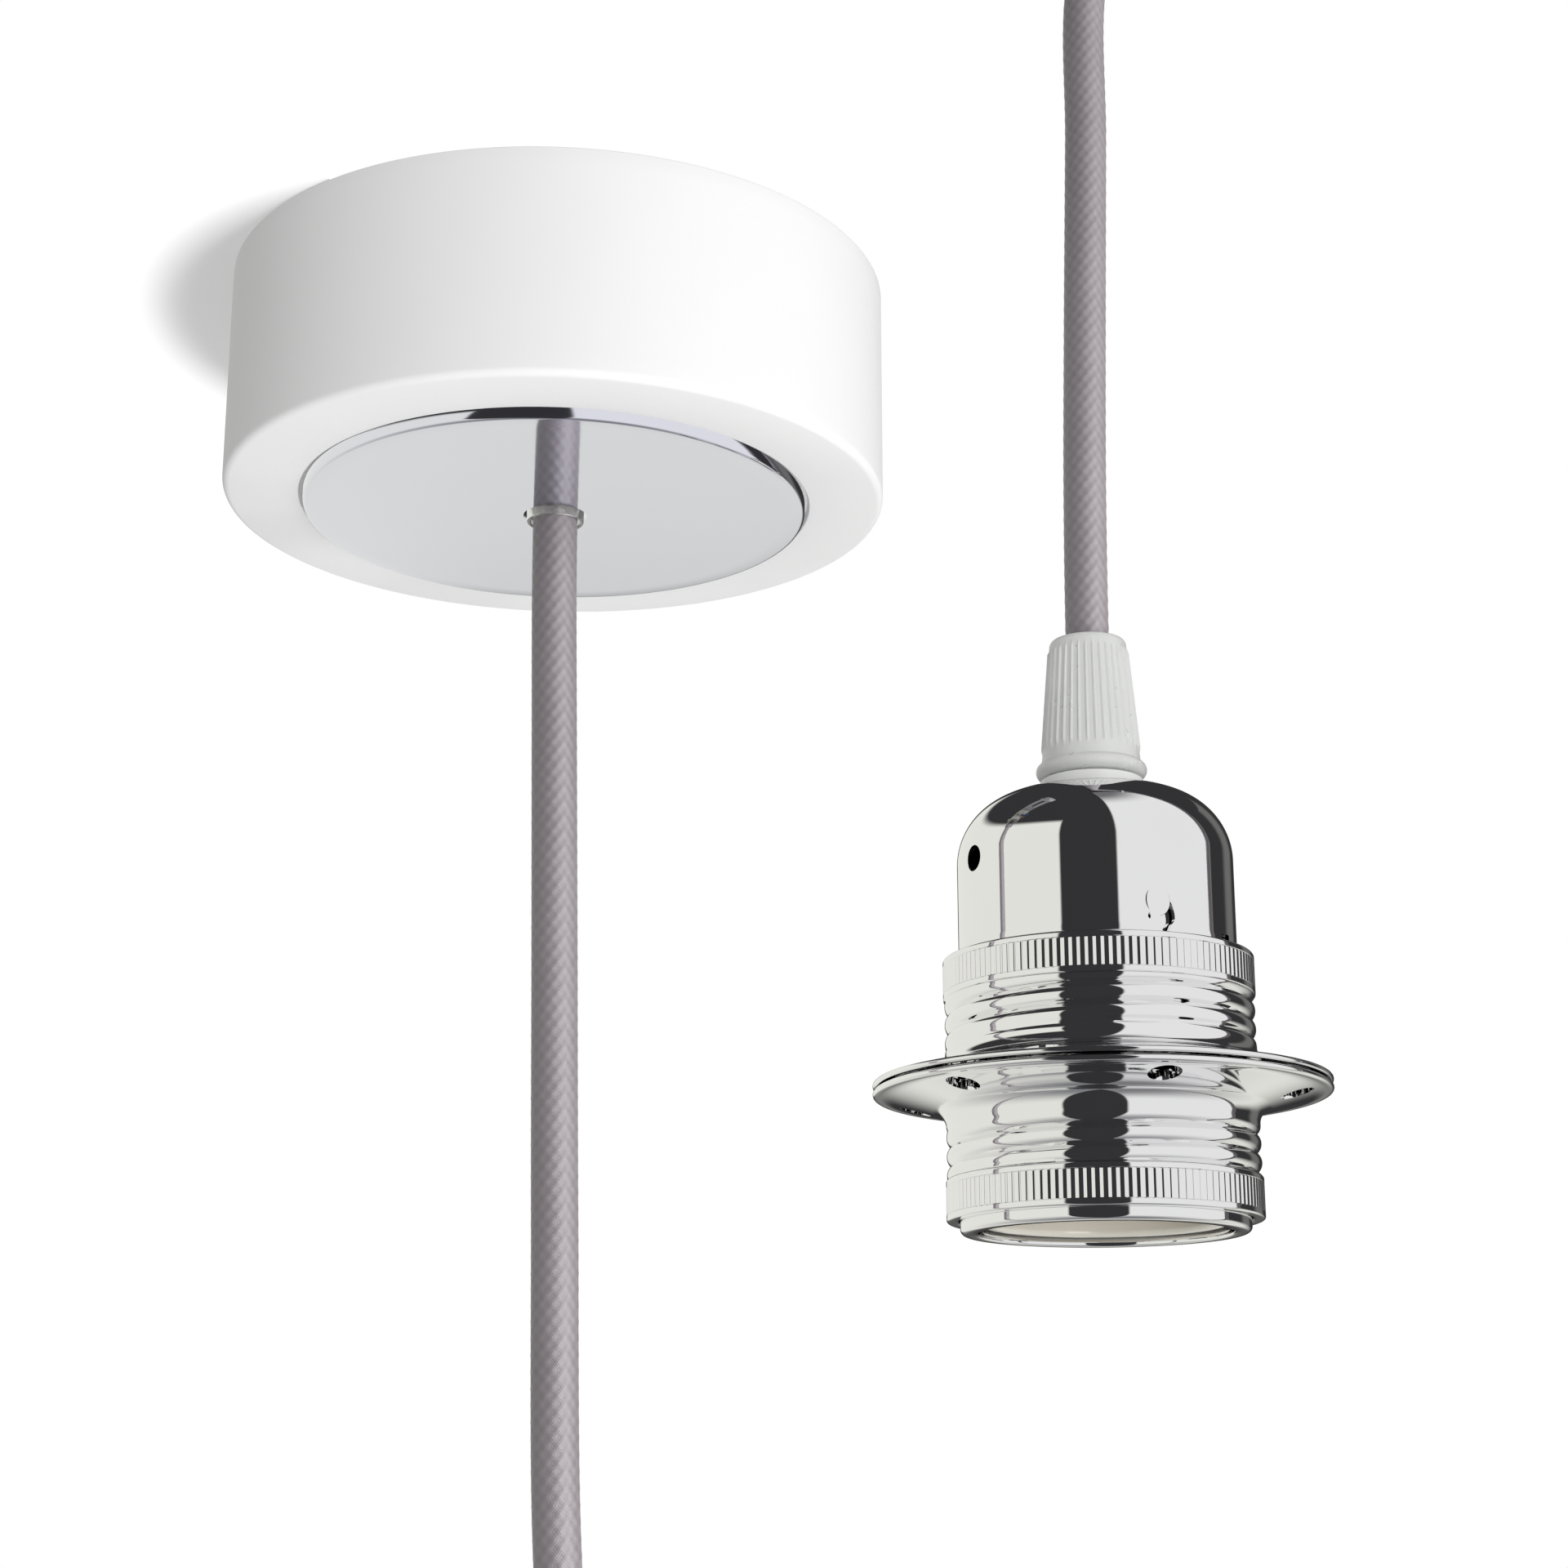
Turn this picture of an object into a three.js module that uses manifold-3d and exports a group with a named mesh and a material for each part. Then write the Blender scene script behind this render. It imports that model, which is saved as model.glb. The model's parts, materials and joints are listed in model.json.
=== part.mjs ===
// Pendant cord set: a ceiling rose and a metal lamp holder on one textile cord, in millimetres, +Z up.
// The origin is the middle of the ceiling bracket's top face. The holder hangs beside the rose,
// because the cord makes a swag: down from the rose, round a slack loop, and over a support hook.
import * as THREE from 'three';
import { mergeVertices } from 'three/addons/utils/BufferGeometryUtils.js';
import Module from 'manifold-3d';

const wasm = await Module();
wasm.setup();

// Clearance between neighbouring pieces
const GAP = 0.3;

// Cord and wires
const CORD_D = 6;
const CORD_SIDES = 8;
const CORD_STEPS = 64;
const WIRE_D = 2;
const WIRE_RING_R = 1.45;
const WIRE_SIDES = 6;
const WIRE_STEPS = 8;
const BORE_R = CORD_D / 2 + GAP;

// Ceiling rose
const ROSE_D = 88;
const ROSE_H = 30;
const ROSE_WALL = 2;
const ROSE_FLOOR = 1.8;
const ROSE_EDGE_R = 1;
const DISC_D = 67;
const DISC_T = 1.7;
const DISC_PROUD = 1.2;
const DISC_EDGE_R = 0.5;
const DISC_RIM_GAP = 0.6;
const ROSE_SEGMENTS = 44;

// Clear bush and cord clamp inside the rose
const BUSH_WALL = 0.5;
const BUSH_LIP = 1;
const BUSH_FLANGE_R = 7;
const BUSH_FLANGE_T = 1.6;
const CLAMP_R = 7.5;
const CLAMP_H = 7;
const CLAMP_SCREW_D = 3;
const CLAMP_SCREW_L = 5.5;
const CORD_TAIL = 2.5;

// Ceiling bracket and what it carries
const BRACKET_W = 16;
const BRACKET_T = 1.6;
const LUG_H = 12;
const GRUB_D = 3;
const GRUB_L = 6;
const GRUB_Z = -8;
const SLOT_X = 26;
const SLOT_L = 12;
const SLOT_W = 4.4;
const BLOCK_X = 18;
const BLOCK_Y = 16;
const WIRE_ROOM = 4.3;
const POLE_X = 4.5;
const POLE_Y = 4.5;
const TERMINAL_D = 3.2;
const TERMINAL_DEPTH = 3;
const BLOCK_SCREW_Y = 5;
const BLOCK_SCREW_D = 2.4;
const EARTH_X = 14;
const EARTH_SCREW_D = 3;
const EARTH_HEAD_D = 6;
const EARTH_HEAD_H = 2;
const EARTH_WIRE_BOW = 4;
const EARTH_WIRE_SAG = 2.35;

// Lamp holder: its axis, and the height of the plane where the two shade rings meet
const HOLDER_X = 72.5;
const HOLDER_Y = 13;
const HOLDER_Z = -106.7;

// Shade rings of rolled sheet
const RING_WALL = 0.8;
const FLANGE_W = 9.65;
const FLANGE_LAND = 1.6;
const CONE_ANGLE = THREE.MathUtils.degToRad(15);
const FLARE_R = 2.4;
const THREAD_PITCH = 2.5;
const THREAD_DEPTH = 0.5;
const THREAD_TURNS = 2.75;
const COLLAR_PROUD = 0.15;
const COLLAR_H = 5.4;
const COLLAR_LIP = 0.9;
const COLLAR_CHAMFER = 0.3;
const KNURL_COUNT = 32;
const KNURL_DEPTH = 0.4;
const RING_HOLES = 6;
const RING_HOLE_D = 4.3;
const RING_HOLE_REACH = 5.15;
const UPPER_RING_TURN = THREE.MathUtils.degToRad(7);
const LOWER_RING_TURN = THREE.MathUtils.degToRad(-19);
const RING_SEGMENTS = 32;

// Threaded skirt, dome and their shared wall
const SKIRT_WALL = 0.8;
const SKIRT_PLAY = 1.8;
const MOUTH_DROP = 1.6;
const MOUTH_EDGE_R = 0.7;
const NECK_H = 8;
const DOME_INSET = 0.4;
const DOME_WALL = 0.8;
const DOME_H = 22.3;
const DOME_FLAT_R = 8.95;
const DOME_HOLE_D = 3.5;
const DOME_HOLE_H = 12;
const DOME_HOLE_TURN = THREE.MathUtils.degToRad(-65.6);
const TAB_TURN = THREE.MathUtils.degToRad(24);
const TAB_H = 5.6;
const TAB_W = 4;
const TAB_RISE = 3;
const TAB_SLIT = 0.5;
const TAB_LEAN = THREE.MathUtils.degToRad(14);
const NOTCH_TURN = THREE.MathUtils.degToRad(58);
const NOTCH_W = 2.2;
const NOTCH_H = 1.3;
const DOME_SEGMENTS = 32;

// Screw socket inside the holder
const SHELL_MAJOR_R = 13.5;
const SHELL_THREAD_DEPTH = 1.1;
const SHELL_WALL = 0.4;
const SHELL_PLAY = 0.35;
const SHELL_PITCH = 3.6;
const SHELL_TURNS = 5;
const BARREL_MOUTH_H = 5.4;
const BARREL_WALL = 2;
const CONTACT_BLOCK_H = 7;
const BOSS_X = 9.2;
const BOSS_W = 6.5;
const BOSS_L = 9;
const BOSS_H = 4.5;
const HOLDER_SCREW_D = 2.4;
const HOLDER_SCREW_HEAD_D = 4;
const HOLDER_SCREW_HEAD_H = 1.3;
const HOLDER_SCREW_L = 3;
const CONTACT_W = 5;
const CONTACT_T = 0.5;
const SOCKET_SEGMENTS = 24;

// Clear cord grip on top of the dome
const GRIP_BASE_R = 7;
const GRIP_BASE_H = 1.9;
const GRIP_BEAD_R = 7.5;
const GRIP_BEAD_H = 2.1;
const GRIP_FOOT_R = 6.7;
const GRIP_TOP_R = 5.2;
const GRIP_CAP_H = 19.6;
const GRIP_WALL = 1.1;
const GRIP_EDGE_R = 0.6;
const GRIP_RIBS = 14;
const GRIP_RIB_DEPTH = 0.3;
const GRIP_ROOF = 7.5;
const NIPPLE_R = 5;
const NIPPLE_L = 9;
const NUT_ACROSS = 13;
const NUT_H = 3.5;
const TAG_T = 0.6;
const TAG_R = 7.4;
const TAG_TAIL = 2.5;
const TAG_TAIL_W = 4;

// Support hook above the holder
const HOOK_ROD_D = 4;
const HOOK_SEAT_R = 6.5;
const HOOK_RISE = 16;
const HOOK_SHANK = 8;
const HOOK_PLAY = 0.5;
const HOOK_SIDES = 8;
const HOOK_STEPS = 18;

// Route of the cord's centre line, chosen by hand
const CORD_ROUTE = [
  [0, 0, -31], [0.1, 0, -42], [0.5, 0, -60], [1.2, 0, -90], [2, 0, -125], [3.2, 0, -165],
  [5.2, 0.4, -186], [10.8, 1, -209], [20.8, 1.8, -230], [35, 2.9, -247], [53, 4.2, -257.5],
  [71, 5.4, -261], [89, 6.5, -258], [107, 7.6, -248], [121.3, 8.6, -231], [131, 9.5, -209],
  [136.3, 10.2, -187], [139.2, 10.8, -165], [141.6, 11.3, -135], [144.2, 11.8, -95],
  [146.8, 12.2, -55], [149.4, 12.6, -15], [151.3, 12.9, 25], [151.9, 13, 57], [146.8, 13, 76.2],
  [132.8, 13, 90.2], [113.6, 13, 95.3], [94.5, 13, 90.2], [80.4, 13, 76.2], [75.3, 13, 57],
  [74.5, 13, 32], [73.5, 13, 2], [72.8, 13, -22], [72.5, 13, -42],
];
const CORD_CROWN = CORD_ROUTE.reduce((high, point) => (point[2] > high[2] ? point : high));

// Heights in the rose that follow from the sizes above
const RECESS_Z = -ROSE_H + DISC_T + GAP - DISC_PROUD;
const ROSE_FLOOR_Z = RECESS_Z + ROSE_FLOOR;
const DISC_FACE_Z = -ROSE_H - DISC_PROUD;
const BUSH_R = BORE_R + BUSH_WALL;
const BUSH_FLANGE_Z = ROSE_FLOOR_Z + GAP;
const CLAMP_Z = BUSH_FLANGE_Z + BUSH_FLANGE_T + GAP;
const CORD_START_Z = CLAMP_Z + CLAMP_H + CORD_TAIL;
const LUG_FACE_X = Math.sqrt((ROSE_D / 2 - ROSE_WALL) ** 2 - (BRACKET_W / 2) ** 2) - GAP;
const BLOCK_TOP_Z = -BRACKET_T - GAP;
const BLOCK_Z = BLOCK_TOP_Z - CORD_START_Z - WIRE_ROOM;
const BLOCK_MID_Z = BLOCK_TOP_Z - BLOCK_Z / 2;

// Radii in the holder, from the lamp's thread outward
const SHELL_MINOR_R = SHELL_MAJOR_R - SHELL_THREAD_DEPTH;
const BARREL_BORE_R = SHELL_MAJOR_R + SHELL_WALL + SHELL_PLAY;
const BARREL_R = BARREL_BORE_R + BARREL_WALL;
const MOUTH_BORE_R = BARREL_R + GAP;
const SKIRT_BORE_R = BARREL_R + SKIRT_PLAY;
const SKIRT_R = SKIRT_BORE_R + SKIRT_WALL;
const RING_BORE_R = SKIRT_R + GAP;
const THREAD_CREST_R = RING_BORE_R + RING_WALL + THREAD_DEPTH;
const COLLAR_R = THREAD_CREST_R + COLLAR_PROUD;
const FLANGE_R = THREAD_CREST_R + FLANGE_W;
const LAND_R = FLANGE_R - FLANGE_LAND;
const RING_HOLE_PITCH_R = THREAD_CREST_R + RING_HOLE_REACH;
const DOME_R = SKIRT_R - DOME_INSET;
const DOME_SHOULDER_R = DOME_R - DOME_FLAT_R;
const NECK_R = DOME_R - DOME_WALL - GAP;
const NECK_BORE_R = NECK_R - SKIRT_WALL;

// Heights in the holder, from the plane where the shade rings meet
const CONE_START_R = THREAD_CREST_R + FLARE_R - (FLARE_R + RING_WALL) * Math.sin(CONE_ANGLE);
const FLARE_Z = GAP / 2 + (FLARE_R + RING_WALL) * Math.cos(CONE_ANGLE)
  + (LAND_R - CONE_START_R) * Math.tan(CONE_ANGLE);
const COLLAR_Z = FLARE_Z + THREAD_PITCH * THREAD_TURNS;
const RING_TOP_Z = COLLAR_Z + COLLAR_H;
const MOUTH_Z = -RING_TOP_Z - MOUTH_DROP;
const SHOULDER_Z = RING_TOP_Z;
const NECK_FOOT_Z = NECK_R < SKIRT_R ? SHOULDER_Z - SKIRT_WALL : SHOULDER_Z + SKIRT_WALL;
const DOME_FOOT_Z = SHOULDER_Z + GAP;
const DOME_TOP_Z = DOME_FOOT_Z + DOME_H;
const BARREL_FOOT_Z = MOUTH_Z + SKIRT_WALL + GAP;
const SHELL_FOOT_Z = BARREL_FOOT_Z + BARREL_MOUTH_H;
const SHELL_TOP_Z = SHELL_FOOT_Z + SHELL_PITCH * SHELL_TURNS;
const BARREL_TOP_Z = SHELL_TOP_Z + 2;
const BLOCK_FOOT_Z = BARREL_TOP_Z + GAP;
const CONTACT_TOP_Z = BLOCK_FOOT_Z - GAP;
const BOSS_FOOT_Z = BLOCK_FOOT_Z + CONTACT_BLOCK_H;
const BOSS_TOP_Z = BOSS_FOOT_Z + BOSS_H;
const GRIP_FOOT_Z = DOME_TOP_Z + GAP;
const CAP_FOOT_Z = GRIP_FOOT_Z + GRIP_BASE_H + GAP;
const CAP_TOP_Z = CAP_FOOT_Z + GRIP_CAP_H;
const NIPPLE_END_Z = GRIP_FOOT_Z - NIPPLE_L;
const TAG_TOP_Z = DOME_TOP_Z - DOME_WALL - GAP;
const NUT_TOP_Z = TAG_TOP_Z - TAG_T - GAP;
const CORD_END_Z = NIPPLE_END_Z + CORD_TAIL;

const steel = { color: 0xc9ccd0, roughness: 0.3, metalness: 1 };
const chrome = { color: 0xe4e5e6, roughness: 0.05, metalness: 1 };
const brass = { color: 0xc9a45a, roughness: 0.3, metalness: 1 };
const white = { color: 0xf3f3f2, roughness: 0.55, metalness: 0 };
const clear = { color: 0xe6e7e4, roughness: 0.25, metalness: 0 };
const ceramic = { color: 0xefeadb, roughness: 0.3, metalness: 0 };
const nylon = { color: 0xe9e8e2, roughness: 0.6, metalness: 0 };
const textile = { color: 0x948c93, roughness: 0.95, metalness: 0 };

const point = (x, y) => new THREE.Vector2(x, y);
const space = (x, y, z) => new THREE.Vector3(x, y, z);

// Points on an arc about (x, y), between two angles in degrees
function arc(x, y, radius, from, to, steps) {
  const points = [];
  for (let i = 0; i <= steps; i += 1) {
    const angle = THREE.MathUtils.degToRad(from + ((to - from) * i) / steps);
    points.push(point(x + radius * Math.cos(angle), y + radius * Math.sin(angle)));
  }
  return points;
}

// Position-only copy with shared corners and without triangles that have no area
function welded(geometry) {
  const bare = geometry.clone();
  bare.deleteAttribute('normal');
  bare.deleteAttribute('uv');
  const merged = mergeVertices(bare, 1e-4);
  const index = merged.index.array;
  const kept = [];
  for (let i = 0; i < index.length; i += 3) {
    const [a, b, c] = index.slice(i, i + 3);
    if (a !== b && b !== c && c !== a) kept.push(a, b, c);
  }
  merged.setIndex(kept);
  return merged;
}

function toManifold(geometry) {
  const mesh = welded(geometry);
  return new wasm.Manifold(new wasm.Mesh({
    numProp: 3,
    vertProperties: new Float32Array(mesh.attributes.position.array),
    triVerts: new Uint32Array(mesh.index.array),
  }));
}

function toGeometry(manifold) {
  const mesh = manifold.getMesh();
  const geometry = new THREE.BufferGeometry();
  geometry.setAttribute('position', new THREE.BufferAttribute(new Float32Array(mesh.vertProperties), 3));
  geometry.setIndex(new THREE.BufferAttribute(new Uint32Array(mesh.triVerts), 1));
  return geometry;
}

function cut(body, ...tools) {
  return toGeometry(tools.reduce((left, tool) => left.subtract(toManifold(tool)), toManifold(body)));
}

function join(...bodies) {
  return toGeometry(bodies.map(toManifold).reduce((sum, body) => sum.add(body)));
}

// Solid of revolution about Z from a closed profile of (radius, height) points, counter-clockwise
function revolve(profile, segments) {
  const geometry = new THREE.LatheGeometry([...profile, profile[0]], segments);
  return welded(geometry.rotateX(Math.PI / 2));
}

function rod(radius, low, high, segments = 16) {
  const geometry = new THREE.CylinderGeometry(radius, radius, high - low, segments);
  return geometry.rotateX(Math.PI / 2).translate(0, 0, (low + high) / 2);
}

function block(x, y, z, cx, cy, cz) {
  return new THREE.BoxGeometry(x, y, z).translate(cx, cy, cz);
}

// Round bar along a smooth curve through points
function tube(points, diameter, sides, steps) {
  const section = new THREE.Shape();
  for (let i = 0; i < sides; i += 1) {
    const angle = (2 * Math.PI * i) / sides;
    const x = (diameter / 2) * Math.cos(angle);
    const y = (diameter / 2) * Math.sin(angle);
    if (i === 0) section.moveTo(x, y);
    else section.lineTo(x, y);
  }
  const path = new THREE.CatmullRomCurve3(points);
  return new THREE.ExtrudeGeometry(section, { steps, bevelEnabled: false, extrudePath: path });
}

// Direction from the axis: zero looks out to the front, -Y, and a positive turn goes towards +X
function outward(turn) {
  return space(Math.sin(turn), -Math.cos(turn), 0);
}

// A cutter or boss that was made along +Z is laid along the outward direction
function layOutward(geometry, turn, reach, height) {
  const aim = new THREE.Quaternion().setFromUnitVectors(space(0, 0, 1), outward(turn));
  return geometry.applyQuaternion(aim).translate(
    reach * Math.sin(turn), -reach * Math.cos(turn), height);
}

function hexagon(across, hole, low, high) {
  const shape = new THREE.Shape(arc(0, 0, across / Math.sqrt(3), 0, 300, 5));
  shape.holes.push(new THREE.Path(arc(0, 0, hole, 0, 345, 23)));
  const prism = new THREE.ExtrudeGeometry(shape, { depth: high - low, bevelEnabled: false });
  return prism.translate(0, 0, low);
}

const group = new THREE.Group();
group.name = 'pendant_cord_set';
const rose = new THREE.Group();
const holder = new THREE.Group();
holder.position.set(HOLDER_X, HOLDER_Y, HOLDER_Z);
group.add(rose, holder);

function add(parent, name, geometry, look) {
  const mesh = new THREE.Mesh(geometry, new THREE.MeshStandardMaterial(look));
  mesh.name = name;
  parent.add(mesh);
  return mesh;
}

// Ceiling rose

function roseHousing() {
  const outer = ROSE_D / 2;
  const inner = outer - ROSE_WALL;
  const recess = DISC_D / 2 + DISC_RIM_GAP;
  const hole = BUSH_R + GAP;
  const cup = revolve([
    point(hole, RECESS_Z),
    point(recess, RECESS_Z),
    point(recess, -ROSE_H),
    ...arc(outer - ROSE_EDGE_R, -ROSE_H + ROSE_EDGE_R, ROSE_EDGE_R, -90, 0, 3),
    point(outer, 0),
    point(inner, 0),
    ...arc(inner - ROSE_EDGE_R, ROSE_FLOOR_Z + ROSE_EDGE_R, ROSE_EDGE_R, 0, -90, 2),
    point(hole, ROSE_FLOOR_Z),
  ], ROSE_SEGMENTS);
  const drill = rod(GRUB_D / 2 + GAP, -outer - 1, outer + 1, 12).rotateY(Math.PI / 2);
  return cut(cup, drill.translate(0, 0, GRUB_Z));
}

function coverDisc() {
  const radius = DISC_D / 2;
  const hole = BUSH_R + GAP;
  return revolve([
    point(hole, DISC_FACE_Z),
    ...arc(radius - DISC_EDGE_R, DISC_FACE_Z + DISC_EDGE_R, DISC_EDGE_R, -90, 0, 3),
    point(radius, DISC_FACE_Z + DISC_T),
    point(hole, DISC_FACE_Z + DISC_T),
  ], ROSE_SEGMENTS);
}

function cordBush() {
  const low = DISC_FACE_Z - BUSH_LIP;
  return revolve([
    point(BORE_R, low),
    point(BUSH_R, low),
    point(BUSH_R, BUSH_FLANGE_Z),
    point(BUSH_FLANGE_R, BUSH_FLANGE_Z),
    point(BUSH_FLANGE_R, BUSH_FLANGE_Z + BUSH_FLANGE_T),
    point(BORE_R, BUSH_FLANGE_Z + BUSH_FLANGE_T),
  ], 24);
}

function cordClamp() {
  const body = revolve([
    point(BORE_R, CLAMP_Z),
    point(CLAMP_R, CLAMP_Z),
    point(CLAMP_R, CLAMP_Z + CLAMP_H),
    point(BORE_R, CLAMP_Z + CLAMP_H),
  ], 24);
  const drill = rod(CLAMP_SCREW_D / 2 + GAP, 0, CLAMP_R + 1, 12);
  return cut(body, layOutward(drill, Math.PI, 0, CLAMP_Z + CLAMP_H / 2));
}

function clampScrew() {
  const start = BORE_R + GAP;
  const bar = rod(CLAMP_SCREW_D / 2, start, start + CLAMP_SCREW_L, 12);
  return layOutward(bar, Math.PI, 0, CLAMP_Z + CLAMP_H / 2);
}

function ceilingBracket() {
  const long = 2 * LUG_FACE_X;
  const lugX = LUG_FACE_X - BRACKET_T / 2;
  const strip = block(long, BRACKET_W, BRACKET_T, 0, 0, -BRACKET_T / 2);
  const lugs = [-lugX, lugX].map((x) => block(BRACKET_T, BRACKET_W, LUG_H, x, 0, -LUG_H / 2));
  const tools = [rod(GRUB_D / 2 + GAP, -long, long, 12).rotateY(Math.PI / 2).translate(0, 0, GRUB_Z)];
  for (const x of [-SLOT_X, SLOT_X]) {
    const slot = new THREE.Shape([
      ...arc(SLOT_L / 2, 0, SLOT_W / 2, -90, 90, 6),
      ...arc(-SLOT_L / 2, 0, SLOT_W / 2, 90, 270, 6),
    ]);
    const tool = new THREE.ExtrudeGeometry(slot, { depth: BRACKET_T + 2, bevelEnabled: false });
    tools.push(tool.translate(x, 0, -BRACKET_T - 1));
  }
  tools.push(rod(BLOCK_SCREW_D / 2 + GAP, -BRACKET_T - 1, 1, 12).translate(0, BLOCK_SCREW_Y, 0));
  tools.push(rod(EARTH_SCREW_D / 2 + GAP, -BRACKET_T - 1, 1, 12).translate(-EARTH_X, 0, 0));
  return cut(join(strip, ...lugs), ...tools);
}

function grubScrew(side) {
  const end = ROSE_D / 2 - GAP;
  const bar = rod(GRUB_D / 2, end - GRUB_L, end, 12);
  return bar.rotateY((side * Math.PI) / 2).translate(0, 0, GRUB_Z);
}

function terminalBlock() {
  const low = BLOCK_TOP_Z - BLOCK_Z;
  const body = block(BLOCK_X, BLOCK_Y, BLOCK_Z, 0, 0, BLOCK_MID_Z);
  const tools = [];
  for (const x of [-POLE_X, POLE_X]) {
    tools.push(rod(WIRE_D / 2 + GAP, -BLOCK_Y, BLOCK_Y, 10).rotateX(Math.PI / 2)
      .translate(x, 0, BLOCK_MID_Z));
    for (const y of [-POLE_Y, POLE_Y]) {
      tools.push(rod(TERMINAL_D / 2 + GAP, low - 1, low + TERMINAL_DEPTH, 12).translate(x, y, 0));
    }
  }
  tools.push(rod(BLOCK_SCREW_D / 2 + GAP, low - 1, 1, 12).translate(0, BLOCK_SCREW_Y, 0));
  return cut(body, ...tools);
}

function terminalScrew(x, y) {
  const low = BLOCK_TOP_Z - BLOCK_Z;
  const high = low + TERMINAL_DEPTH - GAP;
  const head = rod(TERMINAL_D / 2, low + GAP, high, 12);
  const slot = block(TERMINAL_D + 1, 0.6, 1.6, 0, 0, low + GAP);
  return cut(head, slot).translate(x, y, 0);
}

// Pan-headed screw that points up, with its head's seat at a height
function panScrew(headD, headH, shankD, seat, tip) {
  return revolve([
    point(0, seat - headH),
    point(headD / 2 - 0.4, seat - headH),
    point(headD / 2, seat - headH + 0.4),
    point(headD / 2, seat),
    point(shankD / 2, seat),
    point(shankD / 2, tip),
    point(0, tip),
  ], 10);
}

// Angle in the cord's section at which each wire lies
const WIRE_TURNS = { live: 210, neutral: 330, earth: 90 };

function wireSeat(name, z) {
  const angle = THREE.MathUtils.degToRad(WIRE_TURNS[name]);
  return space(WIRE_RING_R * Math.cos(angle), WIRE_RING_R * Math.sin(angle), z);
}

function poleWire(name, side) {
  const start = CORD_START_Z + GAP;
  const faceY = -BLOCK_Y / 2;
  return tube([
    wireSeat(name, start),
    wireSeat(name, start + 1.2),
    space(side * (POLE_X - 1), faceY + 3, start + 2.6),
    space(side * POLE_X, faceY - 4, start + 4),
    space(side * POLE_X, faceY - 5, BLOCK_MID_Z - 0.6),
    space(side * POLE_X, faceY - 2.5, BLOCK_MID_Z),
    space(side * POLE_X, faceY + 2, BLOCK_MID_Z),
  ], WIRE_D, WIRE_SIDES, WIRE_STEPS);
}

function earthWire() {
  const start = CORD_START_Z + GAP;
  const sideY = BLOCK_Y / 2;
  return tube([
    wireSeat('earth', start),
    wireSeat('earth', start + 1.2),
    space(-3, 2.2, start + 1.3),
    space(-8, sideY + 1, start + 2.8),
    space(-EARTH_X + WIRE_D, sideY + EARTH_WIRE_BOW, BLOCK_MID_Z - EARTH_WIRE_SAG),
    space(-EARTH_X, sideY + 1, BLOCK_MID_Z + 1),
    space(-EARTH_X, sideY - 3, BLOCK_TOP_Z - EARTH_HEAD_H + 0.6),
    space(-EARTH_X, EARTH_HEAD_D / 2 + 0.8, BLOCK_TOP_Z - WIRE_D / 2 - GAP / 2),
  ], WIRE_D, WIRE_SIDES, WIRE_STEPS);
}

add(rose, 'rose_housing', roseHousing(), white);
add(rose, 'rose_cover_disc', coverDisc(), { color: 0xd8d9de, roughness: 0.08, metalness: 1 });
add(rose, 'cord_bush', cordBush(), clear);
add(rose, 'cord_clamp', cordClamp(), nylon);
add(rose, 'clamp_screw', clampScrew(), steel);
add(rose, 'ceiling_bracket', ceilingBracket(), steel);
add(rose, 'grub_screw_left', grubScrew(-1), steel);
add(rose, 'grub_screw_right', grubScrew(1), steel);
add(rose, 'terminal_block', terminalBlock(), nylon);
let terminalCount = 0;
for (const x of [-POLE_X, POLE_X]) {
  for (const y of [-POLE_Y, POLE_Y]) {
    terminalCount += 1;
    add(rose, `terminal_screw_${terminalCount}`, terminalScrew(x, y), brass);
  }
}
const blockScrewSeat = BLOCK_TOP_Z - BLOCK_Z - GAP;
add(rose, 'block_screw',
  panScrew(4, 1.4, BLOCK_SCREW_D, blockScrewSeat, -GAP).translate(0, BLOCK_SCREW_Y, 0), steel);
add(rose, 'earth_screw',
  panScrew(EARTH_HEAD_D, EARTH_HEAD_H, EARTH_SCREW_D, BLOCK_TOP_Z, -GAP).translate(-EARTH_X, 0, 0), brass);
add(rose, 'rose_wire_live', poleWire('live', -1), { color: 0x7a4a2a, roughness: 0.5 });
add(rose, 'rose_wire_neutral', poleWire('neutral', 1), { color: 0x3a62a8, roughness: 0.5 });
add(rose, 'rose_wire_earth', earthWire(), { color: 0x6f9a3a, roughness: 0.5 });

// Cord and the hook that holds it

function cord() {
  const inRose = [space(0, 0, CORD_START_Z), space(0, 0, (CORD_START_Z - ROSE_H) / 2)];
  const end = HOLDER_Z + CORD_END_Z;
  const top = HOLDER_Z + CAP_TOP_Z;
  const inHolder = [space(HOLDER_X, HOLDER_Y, (end + top) / 2), space(HOLDER_X, HOLDER_Y, end)];
  const free = CORD_ROUTE.map((place) => space(...place));
  return tube([...inRose, ...free, ...inHolder], CORD_D, CORD_SIDES, CORD_STEPS);
}

function supportHook() {
  const [x, y, crown] = CORD_CROWN;
  const seat = crown - CORD_D / 2 - HOOK_PLAY - HOOK_ROD_D / 2 + HOOK_SEAT_R;
  const top = seat + HOOK_RISE;
  const rodPath = [
    space(x, y - HOOK_SEAT_R, seat + 3),
    ...arc(y, seat, HOOK_SEAT_R, 180, 360, 6).map((at) => space(x, at.x, at.y)),
    space(x, y + HOOK_SEAT_R * 0.95, seat + HOOK_RISE * 0.3),
    space(x, y + HOOK_SEAT_R * 0.4, seat + HOOK_RISE * 0.62),
    space(x, y, top),
    space(x, y, top + HOOK_SHANK),
  ];
  return tube(rodPath, HOOK_ROD_D, HOOK_SIDES, HOOK_STEPS);
}

add(group, 'cord', cord(), textile);
add(group, 'support_hook', supportHook(), steel);

// Shade rings

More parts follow.
